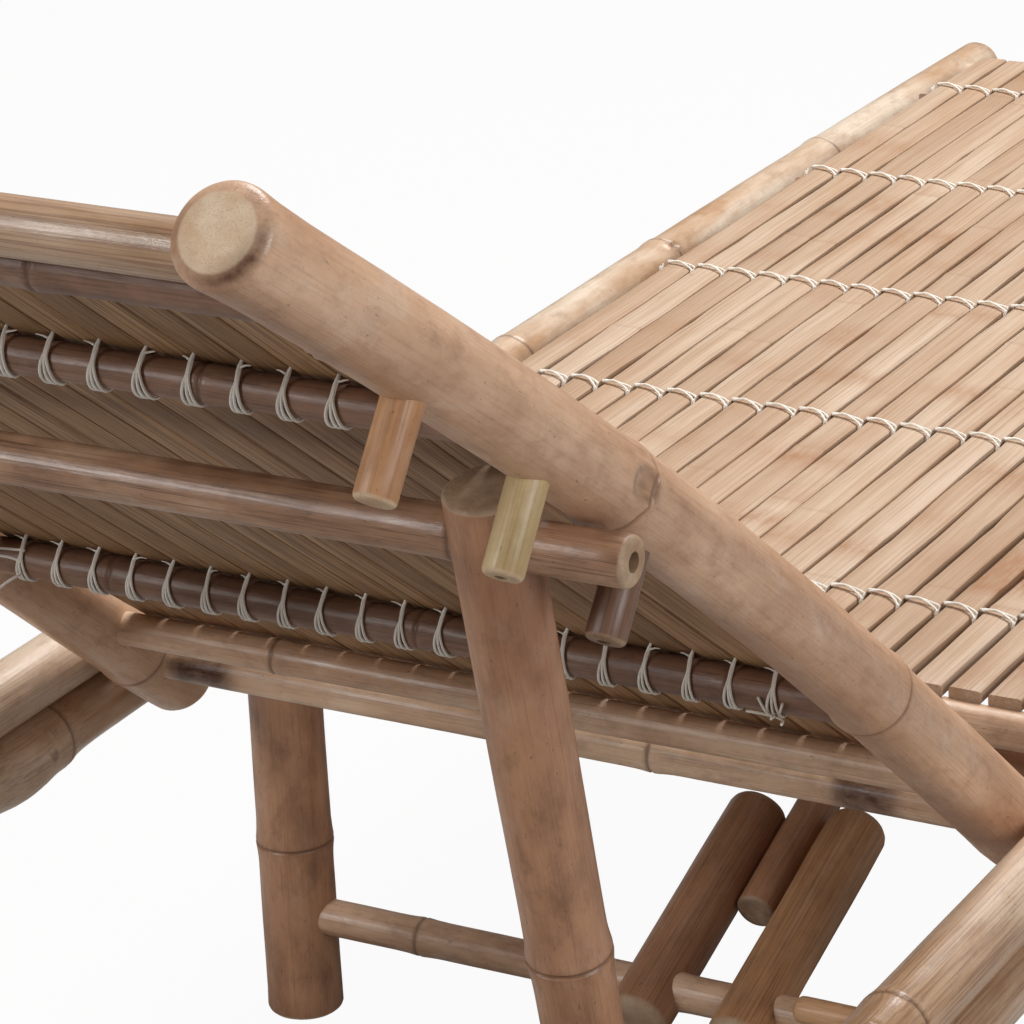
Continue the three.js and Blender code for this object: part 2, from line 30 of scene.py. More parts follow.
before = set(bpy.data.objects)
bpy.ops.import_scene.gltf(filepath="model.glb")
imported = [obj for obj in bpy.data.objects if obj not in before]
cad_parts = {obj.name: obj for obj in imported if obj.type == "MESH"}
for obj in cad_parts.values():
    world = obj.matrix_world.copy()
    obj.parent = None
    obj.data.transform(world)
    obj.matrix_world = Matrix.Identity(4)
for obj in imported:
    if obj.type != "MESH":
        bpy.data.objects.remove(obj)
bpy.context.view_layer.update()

TO_METRES = 0.001
HALF_TURN = math.pi
FULL_TURN = 2 * math.pi
QUARTER_TURN = math.pi / 2
SHARP_ANGLE = math.radians(40)
SIDES = (("left", 1), ("right", -1))

# Camera
LENS = 158.0
SENSOR = 36.0
NEAREST = 0.05
FARTHEST = 50
CAMERA_PLACE = (-1.0697, 2.185294, 1.2772)
CAMERA_YAW = math.radians(150.126)
CAMERA_PITCH = math.radians(-21.695)
CAMERA_ROLL = math.radians(-2.724)

# Frames that the pieces are drawn in
HINGE = Matrix.Translation((0, 290.994, 285))
RECLINE = math.radians(37.4)
LOWER_RAIL_DROP = 37.3
PROP_PIVOT = 363.6
PROP_ANGLE = math.radians(77.5225)
REAR_LEG_PLACE = -137
FRONT_LEG_PLACE = -1168
BRACE_BAR_PLACE = (REAR_LEG_PLACE + FRONT_LEG_PLACE) / 2
STRETCHER_DROP = 184.7
BRACE_BASE = -515.5
BRACE_ANGLE = math.atan2(STRETCHER_DROP, BRACE_BASE)
BRACE_LENGTH = math.hypot(STRETCHER_DROP, BRACE_BASE)

# Seat rails
RAIL_OFFSET = 300
RAIL_RADIUS = 18.0
RAIL_FOOT = -1268
RAIL_HEAD = 420
LOWER_RAIL_INSET = 15
UPPER_RAIL_NODES = {"left": (-970, -712, -498, -212, 262), "right": (-970, -712, -460, -190, 22, 226)}
LOWER_RAIL_NODES = {"left": (-1030, -820, -560, -330, -85, 45, 205), "right": (-820, -540, -330, -60, 185)}
UPPER_RAIL_SCARS = ((-712, 2.2, 9), (262, 1.9, 10))
LOWER_RAIL_SCARS = ((66, 3.05, 7), (58, 2.5, 3.2))
FOOT_SAG = 6.5
FOOT_SAG_START = -620
FOOT_SAG_LENGTH = 640
KNOB_SWELL = 4.2  # on the left lower rail

# Seat bars
BAR_REACH = 305.5
HINGE_AXLE_RADIUS = 10.6
END_BAR_RADIUS = 10.8
REAR_BAR_PLACE = -98
FOOT_BAR_PLACE = -1207
PIN_RADIUS = 9.8
PIN_INNER_END = 196.6
LEG_AXLE_RADIUS = 8.8
BRACE_BAR_RADIUS = 8.3
DOWEL_RADIUS = 4.4
DOWEL_REACH = 26.5
DOWEL_PLACES = (("foot", -1020), ("head", 240))
ROW_PLACES = (-200, -446.2, -671.1, -898.9, -1122)
ROW_BAR_RADIUS = 9  # of the solid, which the twine goes round
ROW_CANE_RADIUS = 8.9

# Mats
SLAT_THICKNESS = 8
SLAT_BEVEL = 1.6
SLAT_CUT_SPACING = 20
SLAT_JOINT_CUTS = (-3, -0.7, 0.7, 3)
SLAT_WANDER = 1.3
SLAT_UNEVEN_END = 3.5
LEAST_OPENING = 0.2
MOST_OPENING = 2.2
SEAT_MAT_ENDS = (-1206, -99)
BACK_MAT_ENDS = (48, 796)

# Backrest
BACK_LENGTH = 852
POLE_OFFSET = 259
POLE_TAIL = 47
POLE_FOOT_RADIUS = 21.8
POLE_HEAD_RADIUS = 20.1
POLE_SKIN = 0.7  # how much thinner the poles are drawn
POLE_BOW = 15
POLE_HEAD_RISE = 1.8
POLE_NODES = {"left": (14, 208, 520), "right": (208, 520)}
PEG_RADIUS = 8.8
PEG_REACH = 38
PEG_DEPTH = 14
BACK_BAR_REACH = 258
LOWER_ROW_PLACE = 202
LOWER_ROW_RISE = 3.4
LOWER_ROW_BAR_RADIUS = 9.7  # of the solid
LOWER_ROW_CANE_RADIUS = 9.5
UPPER_ROW_PLACE = 625
UPPER_ROW_RISE = 4.9
UPPER_ROW_BAR_RADIUS = 8.2  # of the solid
UPPER_ROW_CANE_RADIUS = 8.0

# Prop
PROP_LENGTH = 315.366
POST_OFFSET = 221
POST_TAIL = 28
POST_HEAD = 25
POST_FOOT_RADIUS = 18.1
POST_NODE = 101.5
POST_WALL = 3.4
POST_CUP_DEPTH = 5
POST_MAT_GAP = 1.6
CROSSBAR_PLACE = 530  # along the poles
CROSSBAR_DROP = 11.9  # its middle below the poles' underside
CROSSBAR_RADIUS = 11.3
CROSSBAR_REACH = 284.5
CROSSBAR_HOLLOW = 30

# Legs and brace
LEG_OFFSET = 257
LEG_DROP = 247.7
LEG_RISE = 18
LEG_FOOT_RADIUS = 22.7
LEG_LENGTH = 266
LEG_NODE_HEIGHT = 112
STRETCHER_RADIUS = 11.1
STRETCHER_REACH = 264.5
SPLINT_RADIUS = 7.8
SPLINT_START = 78
SPLINT_END = 233.3
SPLINT_RISE = 13.9
KNUCKLE_REACH = 105
LINK_TAIL = 30
LINK_SKIN = 0.4  # how much thinner the links are drawn
STRUT_OFFSET = 15.3
STRUT_TAIL = 20
STRUT_TIP = 35
STRUT_RADIUS = 14.7
STRUT_TAPER = 2.4
STRUT_TAPER_START = 100  # from the knuckle
STRUT_TAPER_LENGTH = 34

# Twine
STRAND_RADIUS = 0.72
TURN_STEPS = 8  # of the half turn under a bar

back_frame = HINGE @ Matrix.Rotation(RECLINE, 4, "X")
prop_frame = HINGE @ Matrix.Translation((0, PROP_PIVOT, 0)) @ Matrix.Rotation(PROP_ANGLE, 4, "X")
UPRIGHT = Matrix.Rotation(QUARTER_TURN, 4, "X")


def leg_frame(place, turn):
    stand = Matrix.Translation((0, place, -LOWER_RAIL_DROP))
    return HINGE @ stand @ Matrix.Rotation(turn, 4, "Z")


def across(frame_of, place, rise):
    """The frame of a bar that lies across the seat: its length runs along X."""
    return frame_of @ Matrix.Translation((0, place, rise)) @ Matrix.Rotation(-QUARTER_TURN, 4, "Z")


def clamp(value, low, high):
    return max(low, min(high, value))


def new_object(name, data):
    """An object in the scene with this mesh, curve, lamp or camera."""
    made = bpy.data.objects.new(name, data)
    bpy.context.scene.collection.objects.link(made)
    return made


def hump(along, middle, reach, power=2):
    """A smooth hill, 1 at its middle, with a flatter top for a higher even power."""
    return math.exp(-((along - middle) / reach) ** power)


# Camera

def add_camera():
    sin_yaw, cos_yaw = math.sin(CAMERA_YAW), math.cos(CAMERA_YAW)
    sin_pitch, cos_pitch = math.sin(CAMERA_PITCH), math.cos(CAMERA_PITCH)
    forward = Vector((sin_yaw * cos_pitch, cos_yaw * cos_pitch, sin_pitch))
    level = Vector((cos_yaw, -sin_yaw, 0))
    upright = level.cross(forward)
    right = level * math.cos(CAMERA_ROLL) + upright * math.sin(CAMERA_ROLL)
    up = upright * math.cos(CAMERA_ROLL) - level * math.sin(CAMERA_ROLL)
    data = bpy.data.cameras.new("camera")
    data.lens = LENS
    data.sensor_width = SENSOR
    data.clip_start = NEAREST
    data.clip_end = FARTHEST
    camera = new_object("camera", data)
    turn = Matrix((right, up, -forward)).transposed().to_4x4()
    camera.matrix_world = Matrix.Translation(CAMERA_PLACE) @ turn
    bpy.context.scene.camera = camera
    bpy.context.scene.view_settings.view_transform = "Standard"


# Materials

def srgb(text):
    """A colour written as six hex digits, as the shader wants it."""
    values = [int(text[i:i + 2], 16) / 255 for i in (0, 2, 4)]
    linear = [v / 12.92 if v <= 0.04045 else ((v + 0.055) / 1.055) ** 2.4 for v in values]
    return (*linear, 1.0)


# Colours of marks on the canes
WAX_BLOOM = srgb("ead8c4")
SPECK = srgb("4a3324")
JOINT_LINE = srgb("5b3d2a")
SCORCHED = srgb("4f2d1b")
END_PALE = srgb("efd5b6")
END_DEEP = srgb("d8b28c")
END_PORES = srgb("8d6444")
END_BURNT = srgb("4a2c1a")

# Colours of marks on the slats
SLAT_JOINT = srgb("8a6444")
SLAT_TIP = srgb("9b7654")
SLAT_STAIN = srgb("9c6c48")

# Colours of the twine
TWINE_SHADE = srgb("e4dccf")
TWINE_LIGHT = srgb("fbf8f2")
TWINE_GRIME = srgb("cdbca3")


class Nodes:
    """A node tree, filled one node after the other."""

    def __init__(self, tree):
        self.tree = tree

    def fill(self, node, inputs):
        """Puts a value, or another node's output, on each of these inputs of a node."""
        for key, source in inputs.items():
            if isinstance(source, bpy.types.NodeSocket):
                self.tree.links.new(source, node.inputs[key])
            else:
                node.inputs[key].default_value = source

    def add(self, kind, inputs, **settings):
        made = self.tree.nodes.new(kind)
        for key, value in settings.items():
            setattr(made, key, value)
        self.fill(made, inputs)
        return made

    def noise(self, vector, scale, detail, rough):
        inputs = {"Vector": vector, "Scale": scale, "Detail": detail, "Roughness": rough}
        return self.add("ShaderNodeTexNoise", inputs).outputs["Fac"]

    def streaks(self, grain, along, scale, detail, rough):
        """A chance pattern drawn out along the grain: the smaller along is, the longer it gets."""
        stretched = self.add("ShaderNodeMapping", {"Vector": grain, "Scale": (1, along, 1)})
        return self.noise(stretched.outputs["Vector"], scale, detail, rough)

    def spread(self, source, low, high, to_low=0.0, to_high=1.0):
        """Stretches the part of a pattern between low and high over a new range."""
        inputs = {"Value": source, "From Min": low, "From Max": high, "To Min": to_low, "To Max": to_high}
        return self.add("ShaderNodeMapRange", inputs).outputs["Result"]

    def combine(self, how, first, second):
        return self.add("ShaderNodeMath", {0: first, 1: second}, operation=how).outputs[0]

    def mix(self, share, first, second):
        inputs = {"Factor": share, "A": first, "B": second}
        return self.add("ShaderNodeMix", inputs, data_type="RGBA").outputs["Result"]

    def bump(self, height, strength, distance, under=None):
        inputs = {"Height": height, "Strength": strength, "Distance": distance}
        if under is not None:
            inputs["Normal"] = under
        return self.add("ShaderNodeBump", inputs).outputs["Normal"]


class Finish(Nodes):
    """The nodes of a material with one surface shader."""

    def __init__(self, name):
        self.material = bpy.data.materials.new(name)
        self.material.use_nodes = True
        super().__init__(self.material.node_tree)
        self.shader = self.tree.nodes["Principled BSDF"]

    def marks(self):
        """What a bamboo mesh carries at each point: grain, joint line, sawn end, scorch and tone."""
        grain = self.add("ShaderNodeAttribute", {}, attribute_name="grain")
        marks = self.add("ShaderNodeAttribute", {}, attribute_name="marks")
        parts = self.add("ShaderNodeSeparateColor", {"Color": marks.outputs["Color"]})
        ring, sawn, scorch = (parts.outputs[part] for part in ("Red", "Green", "Blue"))
        return grain.outputs["Vector"], ring, sawn, scorch, marks.outputs["Alpha"]


def cane_finish(name, pale, middle, dark, gloss, streak, blotch, specks, wax):
    """Bamboo: long fibres, slow changes of tone, dark specks, ringed joints, sawn ends and scorch marks."""
    f = Finish(name)
    grain, ring, sawn, scorch, tone = f.marks()

    slow = f.streaks(grain, along=0.22, scale=26, detail=4, rough=0.55)
    cloud = f.streaks(grain, along=0.45, scale=45, detail=5, rough=0.68)
    patches = f.streaks(grain, along=0.5, scale=95, detail=6, rough=0.66)
    fibre = f.streaks(grain, along=0.016, scale=900, detail=4, rough=0.6)
    fine = f.streaks(grain, along=0.025, scale=2600, detail=2, rough=0.5)
    dots = f.streaks(grain, along=0.4, scale=520, detail=3, rough=0.6)

    body = f.mix(f.spread(slow, 0.4, 0.6), pale, middle)
    body = f.mix(f.spread(cloud, 0.5, 0.68, 0, 0.75 * blotch), body, f.mix(0.6, middle, dark))
    body = f.mix(f.spread(patches, 0.5, 0.72, 0, 0.7 * blotch), body, dark)
    body = f.mix(f.spread(cloud, 0.46, 0.28, 0, wax), body, WAX_BLOOM)
    body = f.mix(f.spread(fibre, 0.5, 0.7, 0, streak), body, dark)
    body = f.mix(f.spread(fine, 0.53, 0.78, 0, 0.5 * streak), body, pale)
    body = f.mix(f.spread(dots, 0.67, 0.73, 0, specks), body, SPECK)
    body = f.mix(f.spread(tone, 0, 1, 0, 0.8), body, f.mix(f.spread(fibre, 0.4, 0.62), middle, dark))
    body = f.mix(f.combine("MULTIPLY", ring, 0.62), body, JOINT_LINE)
    burnt = f.combine("MULTIPLY", scorch, f.spread(patches, 0.3, 0.6, 0.5, 1))
    body = f.mix(burnt, body, SCORCHED)

    pores = f.noise(grain, scale=2100, detail=2, rough=0.6)
    end_grain = f.mix(f.spread(cloud, 0.35, 0.65), END_PALE, END_DEEP)
    end_grain = f.mix(f.spread(pores, 0.52, 0.72, 0, 0.45), end_grain, END_PORES)
    end_grain = f.mix(f.spread(tone, 0, 1, 0, 0.75), end_grain, dark)
    end_grain = f.mix(burnt, end_grain, END_BURNT)

    worn = f.combine("ADD", f.combine("MULTIPLY", fibre, 0.5), f.combine("MULTIPLY", cloud, 0.5))
    rough = f.spread(worn, 0.36, 0.64, gloss - 0.06, gloss + 0.16)
    rough = f.combine("ADD", rough, f.combine("MULTIPLY", sawn, 0.35))
    skin = f.bump(fibre, 0.4, 0.0004, under=f.bump(patches, 0.35, 0.0012))
    f.fill(f.shader, {"Base Color": f.mix(sawn, body, end_grain), "Roughness": rough, "Coat Weight": 0.12,
                      "Coat Roughness": 0.34, "Specular IOR Level": 0.5, "Normal": skin})
    return f.material


def straw_finish(name, pale, middle, dark, streak, stain):
    """Split bamboo slats: flat strips with straight brown fibres, each of its own tone, with old stains."""
    f = Finish(name)
    grain, ring, sawn, scorch, tone = f.marks()

    slow = f.streaks(grain, along=0.12, scale=34, detail=4, rough=0.6)
    broad = f.streaks(grain, along=0.01, scale=330, detail=3, rough=0.6)
    fibre = f.streaks(grain, along=0.008, scale=900, detail=4, rough=0.65)
    fine = f.streaks(grain, along=0.012, scale=2400, detail=3, rough=0.6)
    spots = f.streaks(grain, along=0.25, scale=260, detail=5, rough=0.65)

    body = f.mix(f.spread(slow, 0.36, 0.64), pale, middle)
    body = f.mix(tone, body, f.mix(0.55, middle, dark))
    body = f.mix(f.spread(broad, 0.5, 0.62, 0, 0.85 * streak), body, f.mix(0.6, middle, dark))
    body = f.mix(f.spread(broad, 0.44, 0.34, 0, 0.6 * streak), body, pale)
    body = f.mix(f.spread(fibre, 0.5, 0.62, 0, streak), body, dark)
    body = f.mix(f.spread(fine, 0.52, 0.68, 0, 0.7 * streak), body, pale)
    body = f.mix(f.spread(spots, 0.66, 0.76, 0, 0.6), body, dark)
    body = f.mix(f.combine("MULTIPLY", ring, 0.4), body, SLAT_JOINT)
    body = f.mix(f.combine("MULTIPLY", sawn, 0.6), body, SLAT_TIP)
    soaked = f.combine("MULTIPLY", scorch, f.spread(spots, 0.36, 0.6, 0.4, 1))
    body = f.mix(f.combine("MULTIPLY", soaked, stain), body, SLAT_STAIN)
    skin = f.bump(fibre, 0.45, 0.0005, under=f.bump(slow, 0.2, 0.0015))
    f.fill(f.shader, {"Base Color": body, "Roughness": f.spread(fibre, 0.35, 0.65, 0.5, 0.66),
                      "Specular IOR Level": 0.4, "Normal": skin})
    return f.material


def twine_finish(name):
    """Soft white twine: fine lint and a little grime."""
    f = Finish(name)
    here = f.add("ShaderNodeTexCoord", {}).outputs["Object"]
    lint = f.noise(here, scale=2600, detail=3, rough=0.6)
    grime = f.noise(here, scale=60, detail=4, rough=0.6)
    body = f.mix(f.spread(lint, 0.3, 0.7), TWINE_SHADE, TWINE_LIGHT)
    body = f.mix(f.spread(grime, 0.5, 0.75, 0, 0.3), body, TWINE_GRIME)
    f.fill(f.shader, {"Base Color": body, "Roughness": f.spread(lint, 0.3, 0.7, 0.75, 0.92),
                      "Sheen Weight": 0.25, "Normal": f.bump(lint, 0.6, 0.0005)})
    return f.material


# Each kind of cane: pale, middle and dark tone, then gloss, streak, blotch, specks and wax
CANES = {
    "rail_cane": ("dfcdb9", "bd9877", "7f563a", 0.28, 0.25, 0.5, 0.4, 0.35),
    "pole_cane": ("dfb797", "c19676", "895b42", 0.33, 0.18, 0.6, 0.55, 0.35),
    "dark_cane": ("96705a", "71503d", "3b261b", 0.36, 0.5, 0.6, 0.5, 0.1),
    "reddish_cane": ("d6b294", "ae8568", "69462f", 0.34, 0.32, 0.6, 0.5, 0.25),
    "leg_cane": ("ba8a68", "996b4e", "61402c", 0.36, 0.24, 0.6, 0.6, 0.15),
    "tan_cane": ("d3a479", "ab784e", "633f28", 0.44, 0.4, 0.5, 0.5, 0.12),
    "green_cane": ("d0ba8d", "b3986a", "806640", 0.46, 0.4, 0.5, 0.4, 0.12),
    "crossbar_cane": ("cda787", "a27a5e", "503322", 0.31, 0.75, 0.6, 0.5, 0.2),
    # A paler copy of reddish_cane for the hinge axle and the backrest's bottom bar: the extra paleness is
    # painted light, for light that falls on these bars from low in front.
    "hinge_bar_cane": ("e6c4a4", "c49c7d", "6e4a33", 0.32, 0.3, 0.5, 0.5, 0.3),
}

# Each kind of slat: pale, middle and dark tone, then streak and stain
STRAWS = {
    "seat_straw": ("dac7b3", "c2a48a", "896549", 0.42, 0.8),
    # The backrest's slats are the seat's split bamboo. Their darker, browner palette is partly painted
    # shade, since the undersides that show face away from the light, and partly their own tone. The strong
    # streaks are their grain.
    "back_straw": ("d4ab7f", "a67950", "462e1b", 0.95, 0.7),
}


def make_finishes():
    """Every finish, by its name."""
    made = {}
    for make, kinds in ((cane_finish, CANES), (straw_finish, STRAWS)):
        for name, (pale, middle, dark, *strengths) in kinds.items():
            made[name] = make(name, srgb(pale), srgb(middle), srgb(dark), *strengths)
    made["twine"] = twine_finish("twine")
    return made


finishes = make_finishes()


# Shaping

def new_bamboo():
    """An empty mesh with the two things that the bamboo finishes read."""
    bm = bmesh.new()
    bm.verts.layers.float_vector.new("grain")
    bm.verts.layers.float_color.new("marks")
    return bm


def finish_piece(bm, name, place, body, slot, replaced, finish=None):
    """Puts a drawn piece in its place on the recliner, in metres, and rides it on its body."""
    bmesh.ops.transform(bm, matrix=Matrix.Scale(TO_METRES, 4) @ place, verts=bm.verts)
    mesh = bpy.data.meshes.new(name)
    bm.to_mesh(mesh)
    bm.free()
    mesh.shade_smooth()
    mesh.set_sharp_from_angle(angle=SHARP_ANGLE)
    mesh.materials.append(finishes[finish or slot])
    piece = new_object(name, mesh)
    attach(piece, body)
    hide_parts(*replaced)


def wobble(point, seed, reach):
    """A smooth chance push, the same at every run."""
    return noise.noise(Vector(point) / reach + Vector((seed * 7.31, seed * 3.17, seed * 1.73)))


# Shapes of a cane's end: steps of (how far before the end, how much thinner)
BEVELS = {
    "cut": ((2.2, 0), (0.9, 0.5), (0.2, 1.3), (0, 2.4)),
    "cap": ((7, 0), (4.6, 0.3), (3.2, 1.1), (2.2, 2.3), (1.4, 3.6), (0.5, 4.9), (0, 6.1)),
    "soft": ((6, 0), (3.4, 0.7), (1.6, 1.9), (0.5, 3.4), (0, 5.4)),
    "round": ((9, 0), (5.5, 1.2), (2.8, 3.2), (0.9, 6.2), (0, 9.4)),
}
PALE_SHARES = {"cut": 0.7, "cap": 0.04, "soft": 0.7, "round": 0.7}  # the part of a bevel that is end grain
BEVEL_MOST = 0.75  # of the cane's radius

# A joint: steps of (distance from it, how much it stands out as a share of its swell)
NODE_STEPS = ((-17, 0), (-12, 0.12), (-8.5, 0.3), (-5.5, 0.6), (-3.2, 0.9), (-1.5, 1), (-0.45, 0.2),
              (0.45, 0.2), (1.5, 0.95), (3.4, 0.75), (6, 0.42), (9.5, 0.18), (13, 0.05), (18, 0))
NODE_CLEAR = 19
TAIL_CLEAR = 8

# Scars: rings every so much of the scar's size, each at least this far from the next
SCAR_RINGS = 8
SCAR_RING_STEP = 0.15
SCAR_RING_APART = 0.4
SCAR_REACH = 1.25
SCAR_ROUNDNESS = 0.62

# A cane's end: the hole's share of its radius
HOLE_SHARE = 0.5
HOLE_NARROWING = 0.92
AXIS_SIZE = 0.01
WELD = 0.002


def node_rise(step):
    """How much a joint stands out at this distance from it, as a share of its swell."""
    for (near, low), (far, high) in zip(NODE_STEPS, NODE_STEPS[1:]):
        if near <= step <= far:
            return low + (high - low) * (step - near) / (far - near)
    return 0


def cane_rings(start, end, radius_at, nodes, ends, swell, scars, spacing):
    """The rings of a cane's skin in order, each with its place, size, joint line and end grain."""
    rings = []
    for sign, edge, shape in ((1, start, ends[0]), (-1, end, ends[1])):
        size = radius_at(edge)
        bevel = BEVELS[shape]
        pale_from = PALE_SHARES[shape] * bevel[0][0]
        limit = BEVEL_MOST * size / bevel[-1][1]
        for back, less in bevel:
            rings.append([edge + sign * back, size - less * min(1, limit), 0, 1 if back < pale_from else 0])
    head = BEVELS[ends[0]][0][0]
    tail = BEVELS[ends[1]][0][0]
    for node in nodes:
        for step, rise in NODE_STEPS:
            if start + head + 1 < node + step < end - tail - 1:
                line = 1 if abs(step) < 1 else 0.25 if abs(step) < 2 else 0
                rings.append([node + step, radius_at(node + step) + swell * rise, line, 0])
    along = start + head + spacing / 2
    while along < end - tail - TAIL_CLEAR:
        if all(abs(along - node) > NODE_CLEAR for node in nodes):
            rings.append([along, radius_at(along), 0, 0])
        along += spacing
    for scar_place, _, scar_size in scars:
        for step in range(-SCAR_RINGS, SCAR_RINGS + 1):
            along = scar_place + step * SCAR_RING_STEP * scar_size
            if all(abs(along - ring[0]) > SCAR_RING_APART for ring in rings):
                rise = max((node_rise(along - node) for node in nodes), default=0)
                rings.append([along, radius_at(along) + swell * rise, 0, 0])
    return sorted(rings)


def end_face(edge, inward, depth, burn):
    """The profile from a cane's last ring to its axis: a sawn face, or a hole this deep."""
    place, size = edge[:2]
    hole = HOLE_SHARE * size
    if depth:
        return [(place, hole, 0, 1, burn), (place + inward * depth, hole * HOLE_NARROWING, 0, 1, 0.9),
                (place + inward * depth, 0, 0, 1, 1)]
    return [(place + inward * 0.3, 0.55 * size, 0, 1, burn), (place + inward * 0.5, 0, 0, 1, burn)]


def cane(start, end, radius_at, nodes=(), ends=("cut", "cut"), seed=1, sides=36, bow=None, tone=0.0,
         swell=0.9, scars=(), hollow=(0, 0), rough=0.012, spacing=22, burn=0.25):
    """A length of bamboo along Y: joints, a sawn or hollow end on each side, and a grown, uneven surface."""
    rings = cane_rings(start, end, radius_at, nodes, ends, swell, scars, spacing)
    outline = list(reversed(end_face(rings[0], 1, hollow[0], burn)))
    outline += [(*ring, burn * ring[3]) for ring in rings]
    outline += end_face(rings[-1], -1, hollow[1], burn)

    bm = new_bamboo()
    grain = bm.verts.layers.float_vector["grain"]
    marks = bm.verts.layers.float_color["marks"]
    profile = []
    for place, size, line, sawn, scorched in outline:
        vert = bm.verts.new((size, place, 0))
        vert[marks] = (line, sawn, scorched, tone)
        profile.append(vert)
    edges = [bm.edges.new(pair) for pair in zip(profile, profile[1:])]
    bmesh.ops.spin(bm, geom=profile + edges, cent=(0, 0, 0), axis=(0, 1, 0), dvec=(0, 0, 0),
                   angle=FULL_TURN, steps=sides, use_merge=True, use_normal_flip=False,
                   use_duplicate=False)
    bmesh.ops.remove_doubles(bm, verts=bm.verts, dist=WELD)
    bmesh.ops.recalc_face_normals(bm, faces=bm.faces)

    drift = Vector((seed * 0.137, seed * 0.311, seed * 0.071))
    for vert in bm.verts:
        x, y, z = vert.co
        vert[grain] = Vector((x, y, z)) * TO_METRES + drift
        size = math.hypot(x, z)
        if size < AXIS_SIZE:
            continue
        push = rough * wobble((x, y * 0.35, z), seed, 16) + 0.5 * rough * wobble((x, y, z), seed + 5, 5)
        angle = math.atan2(z, x)
        for scar_place, scar_angle, scar_size in scars:
            turn = (angle - scar_angle + HALF_TURN) % FULL_TURN - HALF_TURN
            away = math.hypot((y - scar_place) / scar_size, turn * size / (SCAR_ROUNDNESS * scar_size))
            if away < SCAR_REACH:
                push += 0.06 * hump(away, 0.7, 0.22) - 0.07 * hump(away, 0, 0.42)
                line, sawn, scorched, skin = vert[marks]
                rim = hump(away, 0.5, 0.12) * 0.9 + hump(away, 0, 0.25) * 0.9
                vert[marks] = (max(line, min(1, rim)), sawn, scorched, skin)
        vert.co.x *= 1 + push
        vert.co.z *= 1 + push
        if bow:
            vert.co.z += bow(y)
    return bm


# Places in a point's marks
SCORCH = 2
TONE = 3


def darken(bm, part, where, strength=1.0):
    """Scorches a piece or browns its skin: where gives 0 to 1 for a point."""
    marks = bm.verts.layers.float_color["marks"]
    for vert in bm.verts:
        values = list(vert[marks])
        values[part] = max(values[part], strength * where(vert.co))
        vert[marks] = values


def append(bm, part):
    """Adds one drawn part to another."""
    mesh = bpy.data.meshes.new("part")
    part.to_mesh(mesh)
    part.free()
    bm.from_mesh(mesh)
    bpy.data.meshes.remove(mesh)


def everything(bm):
    return list(bm.verts) + list(bm.edges) + list(bm.faces)


# Seat frame

def foot_sag(along):
    """The rails bend down a little towards the foot end."""
    return -FOOT_SAG * clamp((FOOT_SAG_START - along) / FOOT_SAG_LENGTH, 0, 1) ** 2


def browned(co):
    """The rails' skin is browner towards the head end."""
    return 0.7 * clamp((co.y + 30) / 160, 0, 1)


def add_rails():
    for side, sign in SIDES:
        seed = 10 + sign
        knob = KNOB_SWELL if side == "left" else 0

        def lower_size(along):
            return RAIL_RADIUS + knob * hump(along, 82, 36)

        def lower_bend(along):
            return foot_sag(along) - 0.7 * knob * hump(along, 84, 48)

        upper = cane(RAIL_FOOT, RAIL_HEAD, lambda a: RAIL_RADIUS, UPPER_RAIL_NODES[side], ("round", "round"),
                     seed=seed, sides=40, bow=foot_sag, hollow=(0, 14), scars=UPPER_RAIL_SCARS)
        darken(upper, TONE, browned)
        place = HINGE @ Matrix.Translation((sign * RAIL_OFFSET, 0, 0))
        finish_piece(upper, f"rail_upper_{side}", place, "seat_frame", "rail_cane", [f"upper_rail_{side}"])

        lower = cane(RAIL_FOOT + LOWER_RAIL_INSET, RAIL_HEAD - LOWER_RAIL_INSET, lower_size,
                     LOWER_RAIL_NODES[side], ("round", "round"), seed=seed + 3, sides=40, bow=lower_bend,
                     tone=0.3, hollow=(10, 12), swell=1.2, spacing=12, scars=LOWER_RAIL_SCARS)
        darken(lower, TONE, browned)
        place = HINGE @ Matrix.Translation((sign * RAIL_OFFSET, 0, -LOWER_RAIL_DROP))
        finish_piece(lower, f"rail_lower_{side}", place, "seat_frame", "rail_cane", [f"lower_rail_{side}"])


def add_bar(name, replaced, where, radius, reach, body, slot, seed, nodes, finish=None, sides=28, tone=0.0):
    bar = cane(-reach, reach, lambda a: radius, nodes, seed=seed, sides=sides, tone=tone, swell=0.7)
    finish_piece(bar, name, where, body, slot, replaced, finish)


def heated(co):
    """Where the hinge axle was heated: two scorched bands."""
    return max(hump(co.y, 215, 21, 6), hump(co.y, -186, 19, 6))


